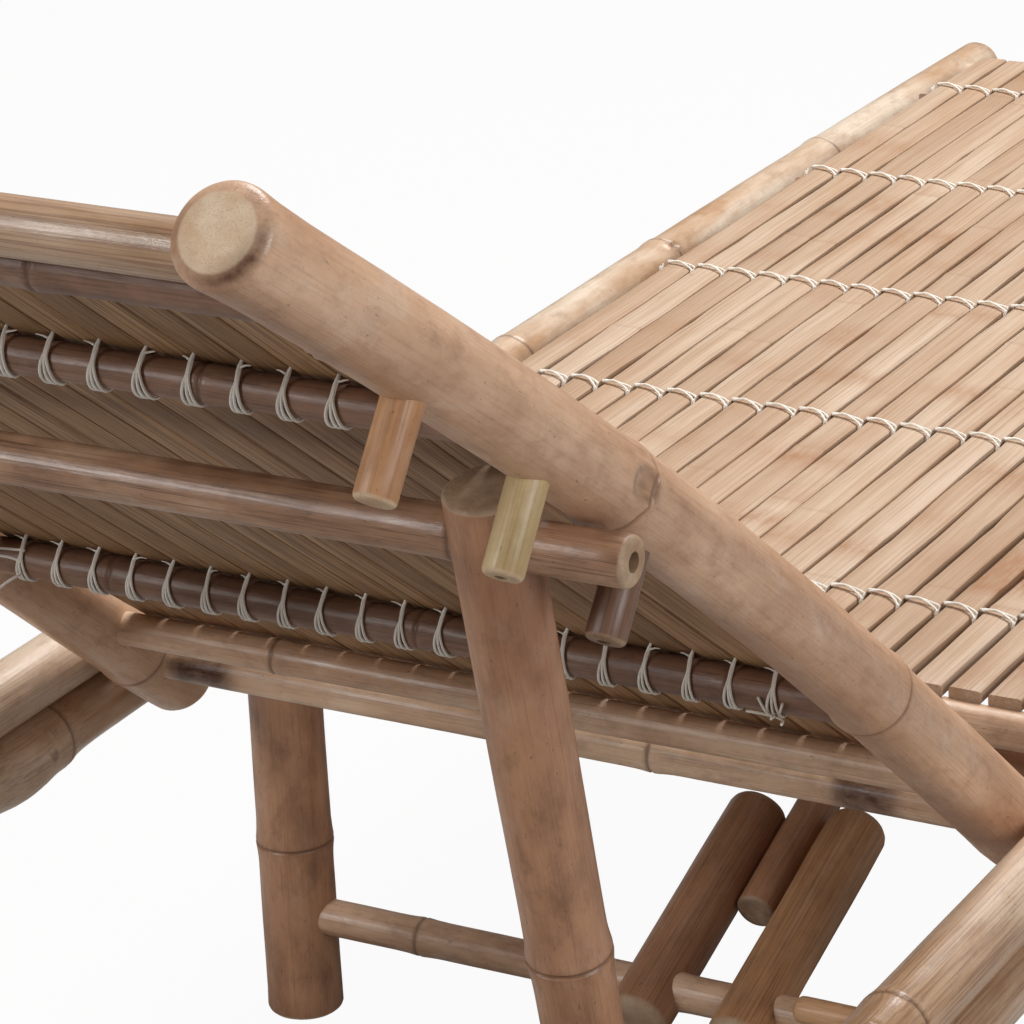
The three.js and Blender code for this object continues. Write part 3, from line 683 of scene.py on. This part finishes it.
def add_seat_bars():
    hinge = cane(-BAR_REACH, BAR_REACH, lambda a: HINGE_AXLE_RADIUS, (-62,), seed=31, sides=32, spacing=5)
    darken(hinge, SCORCH, heated)
    # The axle takes the paler finish, whose extra paleness is painted light.
    finish_piece(hinge, "hinge_axle_cane", across(HINGE, 0, 0), "seat_frame", "reddish_cane", ["hinge_axle"],
                 finish="hinge_bar_cane")
    add_bar("rear_bar_cane", ["seat_rear_bar"], across(HINGE, REAR_BAR_PLACE, 0), END_BAR_RADIUS, BAR_REACH,
            "seat_frame", "reddish_cane", seed=32, nodes=(-180, 44, 251))
    add_bar("foot_bar_cane", ["seat_foot_bar"], across(HINGE, FOOT_BAR_PLACE, 0), END_BAR_RADIUS, BAR_REACH,
            "seat_frame", "rail_cane", seed=33, nodes=(-120, 170))
    for side, sign in SIDES:
        inner, outer = sorted((sign * PIN_INNER_END, sign * BAR_REACH))
        pin = cane(inner, outer, lambda a: PIN_RADIUS, seed=34 + sign, sides=28)
        finish_piece(pin, f"prop_pin_cane_{side}", across(HINGE, PROP_PIVOT, 0), "seat_frame",
                     "reddish_cane", [f"prop_pin_{side}"])
    for index, place in enumerate(ROW_PLACES):
        nodes = [-210 + 37 * index, 25 + 51 * index, 240 - 23 * index]
        add_bar(f"seat_row_cane_{index + 1}", [f"seat_lash_bar_{index + 1}"], across(HINGE, place, 0),
                ROW_CANE_RADIUS, BAR_REACH, "seat_frame", "dark_cane", seed=40 + index, nodes=nodes)
    low = -LOWER_RAIL_DROP
    add_bar("rear_leg_axle_cane", ["rear_leg_axle"], across(HINGE, REAR_LEG_PLACE, low), LEG_AXLE_RADIUS,
            BAR_REACH, "seat_frame", "leg_cane", seed=51, nodes=(-90, 130))
    add_bar("front_leg_axle_cane", ["front_leg_axle"], across(HINGE, FRONT_LEG_PLACE, low), LEG_AXLE_RADIUS,
            BAR_REACH, "seat_frame", "leg_cane", seed=52, nodes=(-60, 160))
    add_bar("brace_bar_cane", ["brace_bar"], across(HINGE, BRACE_BAR_PLACE, low), BRACE_BAR_RADIUS,
            BAR_REACH, "seat_frame", "leg_cane", seed=53, nodes=(-140, 75))
    for side, sign in SIDES:
        for end, place in DOWEL_PLACES:
            dowel = cane(-DOWEL_REACH, DOWEL_REACH, lambda a: DOWEL_RADIUS, seed=60 + sign, sides=16)
            middle = Matrix.Translation((sign * RAIL_OFFSET, place, low / 2))
            finish_piece(dowel, f"rail_peg_{side}_{end}", HINGE @ middle @ UPRIGHT, "seat_frame", "leg_cane",
                         [f"rail_dowel_{side}_{end}"])


# Slats

class Mat:
    """How the slats of a mat lie side by side."""

    def __init__(self, half_width, count, gap, bottom):
        self.half_width = half_width
        self.count = count
        self.gap = gap
        self.bottom = bottom
        self.pitch = (2 * half_width + gap) / count

    def gap_at(self, index):
        """The middle of the gap before the slat with this number."""
        return index * self.pitch - self.half_width - self.gap / 2


seat_mat = Mat(half_width=272.1, count=24, gap=3.6, bottom=9.3)
back_mat = Mat(half_width=234.5, count=21, gap=3.5, bottom=13.4)


def lengthwise(bm):
    return [edge for edge in bm.edges if abs(edge.verts[0].co.y - edge.verts[1].co.y) > 1]


def slat(left_at, right_at, start, end, bottom, seed, tone, nodes, stain_at):
    """One split strip between two wandering lines: soft edges, a crowned face and a ridge at each joint."""
    width = right_at(start) - left_at(start)
    bm = new_bamboo()
    grain = bm.verts.layers.float_vector["grain"]
    marks = bm.verts.layers.float_color["marks"]
    bmesh.ops.create_cube(bm, size=1)
    bmesh.ops.scale(bm, vec=(width, end - start, SLAT_THICKNESS), verts=bm.verts)
    bmesh.ops.bevel(bm, geom=lengthwise(bm), offset=SLAT_BEVEL, offset_type="OFFSET", segments=2,
                    profile=0.5, affect="EDGES", material=-1)
    for face in bm.faces:
        if abs(face.normal.y) > 0.9:
            for vert in face.verts:
                vert[marks] = (0, 0.6, 0, 0)
    bmesh.ops.subdivide_edges(bm, edges=lengthwise(bm), cuts=int((end - start) / SLAT_CUT_SPACING))
    middle = (start + end) / 2
    for node in nodes:
        for step in SLAT_JOINT_CUTS:
            bmesh.ops.bisect_plane(bm, geom=everything(bm), plane_co=(0, node + step - middle, 0),
                                   plane_no=(0, 1, 0), dist=0.0001)
    drift = Vector((seed * 0.173, seed * 0.091, seed * 0.053))
    for vert in bm.verts:
        x, y, z = vert.co
        y += middle
        side = x / (width / 2)
        vert[grain] = Vector((x, y, z)) * TO_METRES + drift
        ring = max([hump(y, node, 1.2) for node in nodes], default=0)
        ridge = max([hump(y, node, 4) for node in nodes], default=0)
        left, right = left_at(y), right_at(y)
        vert[marks] = (ring * 0.7, vert[marks][1], stain_at(left, y), tone)
        height = 0
        if z > 0:
            height = 0.45 * ridge - 0.5 * side * side + 0.5 * wobble((x, y, 0), seed, 45)
        level = bottom + SLAT_THICKNESS / 2 + z + height
        vert.co = Vector((left + (0.5 + 0.5 * side) * (right - left), y, level))
    return bm


def slat_edge(mat, index, side, seed, play):
    """The wandering line of one slat edge beside the gap with this number, as its place at each y."""
    def place_at(y):
        if index in (0, mat.count):
            return math.copysign(mat.half_width, index - 1) + 0.8 * wobble((index, y, 0), seed, 150)
        middle = mat.gap_at(index) + SLAT_WANDER * wobble((index * 23, y, 0), seed, 190)
        opening = LEAST_OPENING + play * max(0, wobble((index * 17, y, 40), seed + 3, 120) + 0.12)
        opening += play * max(0, wobble((index * 31, y, 70), seed + 5, 50) - 0.22)
        opening += 0.6 * play * clamp((y + 300) / 170, 0, 1)
        return middle + side * min(opening, MOST_OPENING)
    return place_at


def add_mat(name, replaced, slot, place, body, mat, ends, seed, most_tone, stain_at, play):
    chance = random.Random(seed)
    start, end = ends
    drawn = new_bamboo()
    for index in range(mat.count):
        joint = start + chance.uniform(60, 420)
        joints = []
        while joint < end - 40:
            joints.append(joint)
            joint += chance.uniform(300, 420)
        low = start + chance.uniform(0, SLAT_UNEVEN_END)
        high = end - chance.uniform(0, SLAT_UNEVEN_END)
        tone = most_tone * chance.random() ** 1.6
        left = slat_edge(mat, index, 1, seed, play)
        right = slat_edge(mat, index + 1, -1, seed, play)
        append(drawn, slat(left, right, low, high, mat.bottom, seed + index, tone, joints, stain_at))
    finish_piece(drawn, name, place, body, slot, replaced)


def seat_stain(x, y):
    """Where the seat is stained: cloudy bands across the slats, the darkest near the backrest."""
    cloud = noise.noise(Vector((x / 70, y / 38, 3.1))) + 0.5 * noise.noise(Vector((x / 25, y / 16, 8.4)))
    band = hump(y + 262 + 0.1 * x, 0, 26) + 0.8 * hump(y + 390 - 0.1 * x, 0, 20)
    return clamp(1.5 * (cloud - 0.24) + 1.1 * band * (0.5 + cloud), 0, 1)


def back_stain(x, y):
    """Where the backrest is stained: a few soft clouds."""
    cloud = noise.noise(Vector((x / 60, y / 90, 5.7)))
    return clamp(1.2 * (cloud - 0.15), 0, 0.8)


# Twine

def strand_mesh(name, paths):
    """Twine along smooth paths, made of round curves and turned into one mesh."""
    curve = bpy.data.curves.new(name, "CURVE")
    curve.dimensions = "3D"
    curve.bevel_depth = STRAND_RADIUS
    curve.bevel_resolution = 1
    curve.use_fill_caps = True
    for path in paths:
        spline = curve.splines.new("POLY")
        spline.points.add(len(path) - 1)
        for point, co in zip(spline.points, path):
            point.co = (*co[:3], 1)
            point.radius = co[3] if len(co) > 3 else 1
    drawn = new_object(name, curve)
    made = bpy.data.meshes.new_from_object(drawn.evaluated_get(bpy.context.evaluated_depsgraph_get()))
    bpy.data.objects.remove(drawn)
    bpy.data.curves.remove(curve)
    bm = bmesh.new()
    bm.from_mesh(made)
    bpy.data.meshes.remove(made)
    bmesh.ops.recalc_face_normals(bm, faces=bm.faces)
    return bm


def smooth_path(points, steps):
    """A soft curve through the points, with equal steps between each pair."""
    made = []
    ends = [points[0]] + list(points) + [points[-1]]
    for i in range(1, len(ends) - 2):
        a, b, c, d = (Vector(p) for p in ends[i - 1:i + 3])
        for step in range(steps):
            t = step / steps
            made.append(0.5 * (2 * b + (c - a) * t + (2 * a - 5 * b + 4 * c - d) * t * t
                               + (3 * b - a - 3 * c + d) * t * t * t))
    made.append(Vector(points[-1]))
    return made


def round_bar(middle, turn, out, slant):
    """The half turn of a strand under a bar: it bulges out along the bar and leans by its slant."""
    points = []
    for step in range(TURN_STEPS + 1):
        angle = -HALF_TURN * step / TURN_STEPS
        push = out * math.sin(-angle) + slant * math.cos(angle)
        points.append((middle + push, turn * math.cos(angle), turn * math.sin(angle)))
    return points


def row_paths(mat, bar_radius, mat_bottom, mat_top, seed, margin):
    """Two strands that go round the bar in each slat gap and cross each other over each slat, and a short
    third strand beside them round the bar. With no margin they also go round the outermost slats."""
    chance = random.Random(seed)
    half = mat.pitch / 2
    turn = bar_radius + STRAND_RADIUS + 0.25
    top = mat_top + STRAND_RADIUS + 0.15
    first, second, short = [], [], []
    for index in range(mat.count - margin, margin - 1, -1):
        x = mat.gap_at(index) + chance.uniform(-0.2, 0.2)
        early = chance.uniform(-1, 1)
        bulge = chance.uniform(1.9, 2.6)
        slant = chance.uniform(-0.7, 0.7)
        crossings = ((first, 0.6, -3, 3, bulge, 0.9, 1.5, 3.2), (second, -0.6, -1, 9, -bulge, 1.6, 0.4, 3.5))
        for strand, shift, enter, leave, out, rise, near, far in crossings:
            head = leave + early
            foot = enter + early
            strand.append((x + shift, head, top))
            strand.append((x + shift * 0.9, max(head + 1.2, 3.8), mat_top - 1))
            strand.append((x + shift * 0.6, turn + 0.3, mat_bottom - 1.5))
            strand.extend(round_bar(x + 0.8 * shift, turn, out, slant))
            strand.append((x + shift * 0.6, -turn - 0.3, mat_bottom - 1.5))
            strand.append((x + shift * 0.9, min(foot - 1.2, -3.8), mat_top - 1))
            strand.append((x + shift - 1.2, foot, top))
            if index > margin:
                strand.append((x - half * 0.75, foot + near, top + rise))
                strand.append((x - half * 1.35, foot + far, top + rise * 0.8))
        beside = [(x, turn - 0.4, mat_bottom + 1.5), (x, turn + 0.5, mat_bottom - 1.5)]
        beside += round_bar(x, turn, chance.uniform(-0.5, 0.5), slant)
        beside += [(x, -turn - 0.5, mat_bottom - 1.5), (x, -turn + 0.4, mat_bottom + 1.5)]
        short.append(beside)
    return [first, second, *short]


# The lower row's knot beside the right pole, and its loose ends beside the left one
LOOSE_ENDS = (
    ((-208, -9.6, 5), (-211, -10.8, -1), (-214, -6, -9.4), (-217, 3, -11), (-220, 9.6, -6.5)),
    ((-220, -9.6, 5), (-217, -10.8, -1), (-214, -5, -9.9), (-211, 4, -11), (-207, 9.8, -5.5)),
    ((-214, 0, -11.4), (-216, 6, -12.4), (-219, 13, -14), (-221, 20, -16.5)),
    ((-214, 0, -11.4), (-218, 5, -12.6), (-223, 11, -14.5), (-226, 18, -18)),
    ((-213, 0, -11.4), (-208, 5, -12), (-202, 8, -12.6)),
    ((213, 6, -9.8), (214, 10, -13), (217, 13, -18), (219, 15, -23)),
    ((212, 10.6, 2), (218, 11, 1.5), (226, 10.8, 1), (236, 10.4, 0)),
    ((212, 9.8, -4), (219, 10.6, -3), (227, 10.6, -3), (236, 10, -3.5)),
)


def short_tail(x, bar_radius, mat_bottom, chance):
    """A tuft of twine that sticks out beside a gap and thins towards its tip."""
    side = chance.choice((-1, 1, 1))
    length = chance.uniform(3, 6.5)
    points = [(x + side, bar_radius + 1.6, mat_bottom - 2.2),
              (x + side * (1 + 0.5 * length), bar_radius + chance.uniform(1.2, 2.4), mat_bottom - 1.4),
              (x + side * (1 + length), bar_radius + chance.uniform(1, 3), mat_bottom - 1.2)]
    soft = smooth_path(points, 3)
    return [(*point, 0.85 - 0.6 * i / (len(soft) - 1)) for i, point in enumerate(soft)]


def add_row(name, replaced, place, body, mat, rise, bar_radius, seed, margin, extra=()):
    """A row of twine over a mat, drawn from the middle of its bar, which lies this much above the frame."""
    mat_bottom = mat.bottom - rise
    paths = row_paths(mat, bar_radius, mat_bottom, mat_bottom + SLAT_THICKNESS, seed, margin)
    paths = [smooth_path(path, 3) for path in paths]
    chance = random.Random(seed + 1)
    for index in range(1, mat.count):
        paths.append(short_tail(mat.gap_at(index), bar_radius, mat_bottom, chance))
    paths.extend(smooth_path(path, 4) for path in extra)
    finish_piece(strand_mesh(name, paths), name, place, body, "twine", replaced)


# Backrest

def pole_radius(along):
    share = clamp(along, 0, BACK_LENGTH) / BACK_LENGTH
    return POLE_FOOT_RADIUS + share * (POLE_HEAD_RADIUS - POLE_FOOT_RADIUS)


def pole_bow(along):
    share = clamp(along, 0, BACK_LENGTH) / BACK_LENGTH
    return POLE_BOW * math.sin(HALF_TURN * share) + POLE_HEAD_RISE * share


def pole_size(along):
    """The pole's own thickness, with a slight flare at its head and foot."""
    flare = 1.3 * clamp((along - 800) / 48, 0, 1) ** 2 + 0.9 * clamp((12 - along) / 30, 0, 1)
    return pole_radius(along) - POLE_SKIN + flare


# The pegs under each pole: level, place along it, slot, depth of the hole, tone and burn
PEGS = (
    # The low peg's tone and burn are painted shade: they darken it beyond its own cane, since it sits in
    # shadow below the crossbar.
    ("low", 486, "dark_cane", 8, 0.35, 0.75),
    ("middle", 587, "green_cane", 8, 0.0, 0.3),
    ("high", 699, "tan_cane", 0, 0.0, 0.3),
)


def add_poles():
    for side, sign in SIDES:
        outward = 0 if sign > 0 else HALF_TURN
        scars = ((528, outward, 19), (752, outward - sign * 2.2, 7))
        pole = cane(-POLE_TAIL, BACK_LENGTH, pole_size, POLE_NODES[side], ("round", "cap"), seed=70 + sign,
                    sides=56, bow=pole_bow, tone=0.05, swell=1.1, scars=scars, hollow=(12, 0), rough=0.01,
                    burn=0)

        def stained(co):
            """A dark arc on the lower inner rim of the pole's head."""
            low = co.z - pole_bow(co.y)
            rim = hump(math.hypot(co.x, low), 17, 2.8)
            lean = (sign * 0.75 * co.x - 0.66 * low) / POLE_HEAD_RADIUS
            return clamp((lean - 0.3) * 2.2, 0.16, 1) * clamp((co.y - BACK_LENGTH + 5.6) / 3, 0, 1) * rim

        darken(pole, SCORCH, stained, 0.95)
        place = back_frame @ Matrix.Translation((sign * POLE_OFFSET, 0, 0))
        finish_piece(pole, f"pole_{side}", place, "backrest", "pole_cane", [f"back_pole_{side}"])
        for level, along, slot, depth, tone, burn in PEGS:
            surface = pole_bow(along) - pole_radius(along)
            peg = cane(-PEG_REACH, PEG_DEPTH, lambda a: PEG_RADIUS, seed=80 + along + sign, sides=30,
                       hollow=(depth, 0), rough=0.03, tone=tone, burn=burn)
            where = Matrix.Translation((sign * POLE_OFFSET, along, surface)) @ UPRIGHT
            finish_piece(peg, f"pole_peg_{level}_{side}", back_frame @ where, "backrest", slot,
                         [f"peg_{level}_{side}"])


def add_back_bars():
    reach = BACK_BAR_REACH
    # The bottom bar takes the paler finish, whose extra paleness is painted light.
    add_bar("bottom_bar_cane", ["back_bottom_bar"], across(back_frame, 57, 3), 9.3, reach, "backrest",
            "reddish_cane", seed=91, nodes=(141,), finish="hinge_bar_cane")
    add_bar("row_cane_lower", ["back_lash_bar_lower"], across(back_frame, LOWER_ROW_PLACE, LOWER_ROW_RISE),
            LOWER_ROW_CANE_RADIUS, reach, "backrest", "dark_cane", seed=92, nodes=(-190, -20, 160),
            tone=0.05)
    add_bar("row_cane_upper", ["back_lash_bar_upper"], across(back_frame, UPPER_ROW_PLACE, UPPER_ROW_RISE),
            UPPER_ROW_CANE_RADIUS, reach, "backrest", "dark_cane", seed=93, nodes=(-129, 60, 205), tone=0.05)
    add_bar("head_bar_cane", ["back_head_bar"], across(back_frame, 827, 1.1), 11.4, reach, "backrest",
            "rail_cane", seed=94, nodes=(-30, 190), sides=40, tone=0.75)
    add_bar("second_head_bar_cane", ["back_second_head_bar"], across(back_frame, 801, -5), 8.8, reach,
            "backrest", "dark_cane", seed=95, nodes=(-158, 88), tone=0.1)


# Prop

def post_radius(along):
    return POST_FOOT_RADIUS + 0.6 * clamp(along, 0, 340) / 340


def cut_post_top(post, point, normal):
    """Saws a post's top off along a plane and leaves a shallow cup in the cut."""
    sliced = bmesh.ops.bisect_plane(post, geom=everything(post), plane_co=point, plane_no=normal,
                                    clear_outer=True, dist=0.001)
    rim = [part for part in sliced["geom_cut"] if isinstance(part, bmesh.types.BMEdge)]
    filled = bmesh.ops.contextual_create(post, geom=rim)["faces"]
    hollowed = bmesh.ops.inset_region(post, faces=filled, thickness=POST_WALL, depth=0)
    marks = post.verts.layers.float_color["marks"]
    # The cup's floor is marked as end grain scorched at 0.8, darker than its rim. This is partly a burnt end
    # and partly painted shade in the hollow.
    for face in filled:
        for vert in face.verts:
            vert[marks] = (0, 1, 0.8, 0)
    for face in hollowed["faces"]:
        for vert in face.verts:
            line, _, scorched, skin = vert[marks]
            vert[marks] = (line, 1, scorched, skin)
    inner = list({vert for face in filled for vert in face.verts})
    bmesh.ops.translate(post, vec=-normal * POST_CUP_DEPTH, verts=inner)
    bmesh.ops.triangulate(post, faces=filled)
    bmesh.ops.recalc_face_normals(post, faces=post.faces)


def add_prop():
    crossbar_rise = pole_bow(CROSSBAR_PLACE) - pole_radius(CROSSBAR_PLACE) - CROSSBAR_DROP
    mouth = back_mat.bottom - POST_MAT_GAP - crossbar_rise
    normal = Matrix.Rotation(RECLINE - PROP_ANGLE, 3, "X") @ Vector((0, 0, 1))
    for side, sign in SIDES:
        post = cane(-POST_TAIL, PROP_LENGTH + POST_HEAD, post_radius, (POST_NODE,), ("round", "cut"),
                    seed=100 + sign, sides=48, swell=1.1, tone=0.08, burn=0.6)
        cut_post_top(post, Vector((0, PROP_LENGTH, 0)) + normal * mouth, normal)
        place = prop_frame @ Matrix.Translation((sign * POST_OFFSET, 0, 0))
        finish_piece(post, f"post_{side}", place, "prop", "leg_cane", [f"prop_post_{side}"])
    crossbar = cane(-CROSSBAR_REACH, CROSSBAR_REACH, lambda a: CROSSBAR_RADIUS, (-205, 38), seed=105,
                    sides=40, hollow=(CROSSBAR_HOLLOW, CROSSBAR_HOLLOW), swell=0.6, tone=0.1, burn=0.5)
    finish_piece(crossbar, "crossbar", across(prop_frame, PROP_LENGTH, 0), "prop", "tan_cane",
                 ["prop_crossbar"], finish="crossbar_cane")


# Legs and braces

def leg_radius(along):
    return LEG_FOOT_RADIUS - (along + LEG_DROP) / LEG_LENGTH


def strut_radius(along):
    """A strut thins towards the knuckle."""
    taper_start = BRACE_LENGTH - KNUCKLE_REACH - STRUT_TAPER_START
    return STRUT_RADIUS - clamp((along - taper_start) / STRUT_TAPER_LENGTH, 0, 1) * STRUT_TAPER


# The two links of a brace: kind, offset from the middle, radius, reach, slot and tone
LINKS = (("narrow", 16.75, 19.1, 150, "leg_cane", 0.55), ("wide", -47.05, 18.8, 152, "tan_cane", 0.5))


def add_leg_frame(prefix, place, turn, seed):
    stand = leg_frame(place, turn)
    legs = f"{prefix}_legs"
    for side, sign in SIDES:
        seat_side = side if turn == 0 else ("right" if side == "left" else "left")
        leg = cane(-LEG_DROP, LEG_RISE, leg_radius, (LEG_NODE_HEIGHT - LEG_DROP,), ("cut", "round"),
                   seed=seed + sign, sides=48, swell=1.1, rough=0.014)
        where = stand @ Matrix.Translation((sign * LEG_OFFSET, 0, 0)) @ UPRIGHT
        finish_piece(leg, f"{prefix}_leg_cane_{seat_side}", where, legs, "leg_cane",
                     [f"{prefix}_leg_{seat_side}"])
    add_bar(f"{prefix}_stretcher_cane", [f"{prefix}_stretcher"], across(stand, 0, -STRETCHER_DROP),
            STRETCHER_RADIUS, STRETCHER_REACH, legs, "reddish_cane", seed=seed + 3, nodes=(-186, 4, 171))
    low = stand @ Matrix.Translation((0, 0, -STRETCHER_DROP)) @ Matrix.Rotation(BRACE_ANGLE, 4, "X")
    for kind, offset, radius, reach, slot, tone in LINKS:
        link = cane(-LINK_TAIL, reach, lambda a: radius - LINK_SKIN, (), ("soft", "soft"),
                    seed=seed + 5 + offset, sides=40, rough=0.022, tone=tone)
        where = low @ Matrix.Translation((offset, 0, 0))
        finish_piece(link, f"{prefix}_link_cane_{kind}", where, f"{prefix}_links", slot,
                     [f"{prefix}_brace_link_{kind}"])
    high = stand @ Matrix.Translation((-STRUT_OFFSET, BRACE_BASE, 0))
    high = high @ Matrix.Rotation(BRACE_ANGLE - HALF_TURN, 4, "X")
    tip = BRACE_LENGTH - KNUCKLE_REACH + STRUT_TIP
    strut = cane(-STRUT_TAIL, tip, strut_radius, (130, 318), ("round", "cut"), seed=seed + 8, tone=0.45,
                 rough=0.02, burn=0.6)
    finish_piece(strut, f"{prefix}_strut_cane", high, f"{prefix}_strut", "leg_cane",
                 [f"{prefix}_brace_strut"])


def add_splint():
    stand = leg_frame(REAR_LEG_PLACE, 0)
    splint = cane(SPLINT_START, SPLINT_END, lambda a: SPLINT_RADIUS, (150,), ("cap", "cut"), seed=131,
                  sides=28, rough=0.02)
    where = across(stand, SPLINT_RISE, SPLINT_RISE - STRETCHER_DROP) @ Matrix.Rotation(HALF_TURN, 4, "Z")
    finish_piece(splint, "splint_cane", where, "rear_legs", "tan_cane", ["stretcher_splint"])


# Studio

def add_sky():
    """A soft light from all round, which the camera sees as white."""
    world = bpy.data.worlds.new("studio")
    world.use_nodes = True
    bpy.context.scene.world = world
    nodes = Nodes(world.node_tree)
    light = nodes.tree.nodes["Background"]
    nodes.fill(light, {"Color": (1, 0.985, 0.965, 1), "Strength": 0.16})
    white = nodes.add("ShaderNodeBackground", {"Color": (1, 1, 1, 1), "Strength": 1})
    path = nodes.add("ShaderNodeLightPath", {})
    seen = nodes.combine("MAXIMUM", path.outputs["Is Camera Ray"], path.outputs["Is Transmission Ray"])
    blend = nodes.add("ShaderNodeMixShader", {0: seen, 1: light.outputs[0], 2: white.outputs[0]})
    nodes.fill(nodes.tree.nodes["World Output"], {"Surface": blend.outputs[0]})


def floor_finish():
    """A grey floor that the camera sees nearly white, with a soft shadow."""
    f = Finish("pale_floor")
    f.fill(f.shader, {"Base Color": (0.42, 0.41, 0.4, 1), "Roughness": 0.8, "Specular IOR Level": 0.1})
    glow = f.add("ShaderNodeEmission", {"Strength": 1})
    path = f.add("ShaderNodeLightPath", {})
    share = f.combine("MULTIPLY", path.outputs["Is Camera Ray"], 0.95)
    blend = f.add("ShaderNodeMixShader", {0: share, 1: f.shader.outputs[0], 2: glow.outputs[0]})
    f.fill(f.tree.nodes["Material Output"], {"Surface": blend.outputs[0]})
    return f.material


def add_floor():
    bm = bmesh.new()
    bmesh.ops.create_grid(bm, x_segments=2, y_segments=2, size=9)
    mesh = bpy.data.meshes.new("floor")
    bm.to_mesh(mesh)
    bm.free()
    floor = new_object("floor", mesh)
    floor.location.z = -0.0005
    mesh.materials.append(floor_finish())


def add_lamp(name, place, aim, size, power, tint=(1, 1, 1)):
    data = bpy.data.lights.new(name, "AREA")
    data.shape = "DISK"
    data.size = size
    data.energy = power
    data.color = tint
    made = new_object(name, data)
    made.location = place
    made.rotation_euler = (Vector(aim) - Vector(place)).to_track_quat("-Z", "Y").to_euler()


def add_studio():
    add_sky()
    add_floor()
    add_lamp("lamp_above", (0.2, -1.3, 3.1), aim=(0, 0.1, 0.3), size=1.8, power=118, tint=(1, 0.985, 0.96))
    add_lamp("lamp_head_side", (1.7, 3.0, 2.0), aim=(0, 0.4, 0.4), size=1.1, power=46)
    add_lamp("lamp_side", (-2.7, 1.3, 1.7), aim=(0, 0.3, 0.4), size=1.2, power=36)


# The whole recliner

add_camera()
add_studio()
add_rails()
add_seat_bars()
add_mat("seat_slats", ["seat_mat"], "seat_straw", HINGE, "seat_frame", seat_mat, SEAT_MAT_ENDS, seed=200,
        most_tone=0.65, stain_at=seat_stain, play=2.1)
for number, row in enumerate(ROW_PLACES, 1):
    row_frame = HINGE @ Matrix.Translation((0, row, 0))
    add_row(f"seat_twine_{number}", [f"seat_lashing_{number}"], row_frame, "seat_frame", seat_mat, 0,
            ROW_BAR_RADIUS, seed=300 + number, margin=0)
add_poles()
add_back_bars()
# The back slats take the darker palette, which is partly painted shade.
add_mat("back_slats", ["back_mat"], "back_straw", back_frame, "backrest", back_mat, BACK_MAT_ENDS, seed=400,
        most_tone=0.9, stain_at=back_stain, play=0.4)
row_frame = back_frame @ Matrix.Translation((0, LOWER_ROW_PLACE, LOWER_ROW_RISE))
add_row("back_twine_lower", ["back_lashing_lower"], row_frame, "backrest", back_mat, LOWER_ROW_RISE,
        LOWER_ROW_BAR_RADIUS, seed=321, margin=1, extra=LOOSE_ENDS)
row_frame = back_frame @ Matrix.Translation((0, UPPER_ROW_PLACE, UPPER_ROW_RISE))
add_row("back_twine_upper", ["back_lashing_upper"], row_frame, "backrest", back_mat, UPPER_ROW_RISE,
        UPPER_ROW_BAR_RADIUS, seed=322, margin=1)
add_prop()
add_leg_frame("rear", REAR_LEG_PLACE, 0, 110)
add_leg_frame("front", FRONT_LEG_PLACE, HALF_TURN, 150)
add_splint()
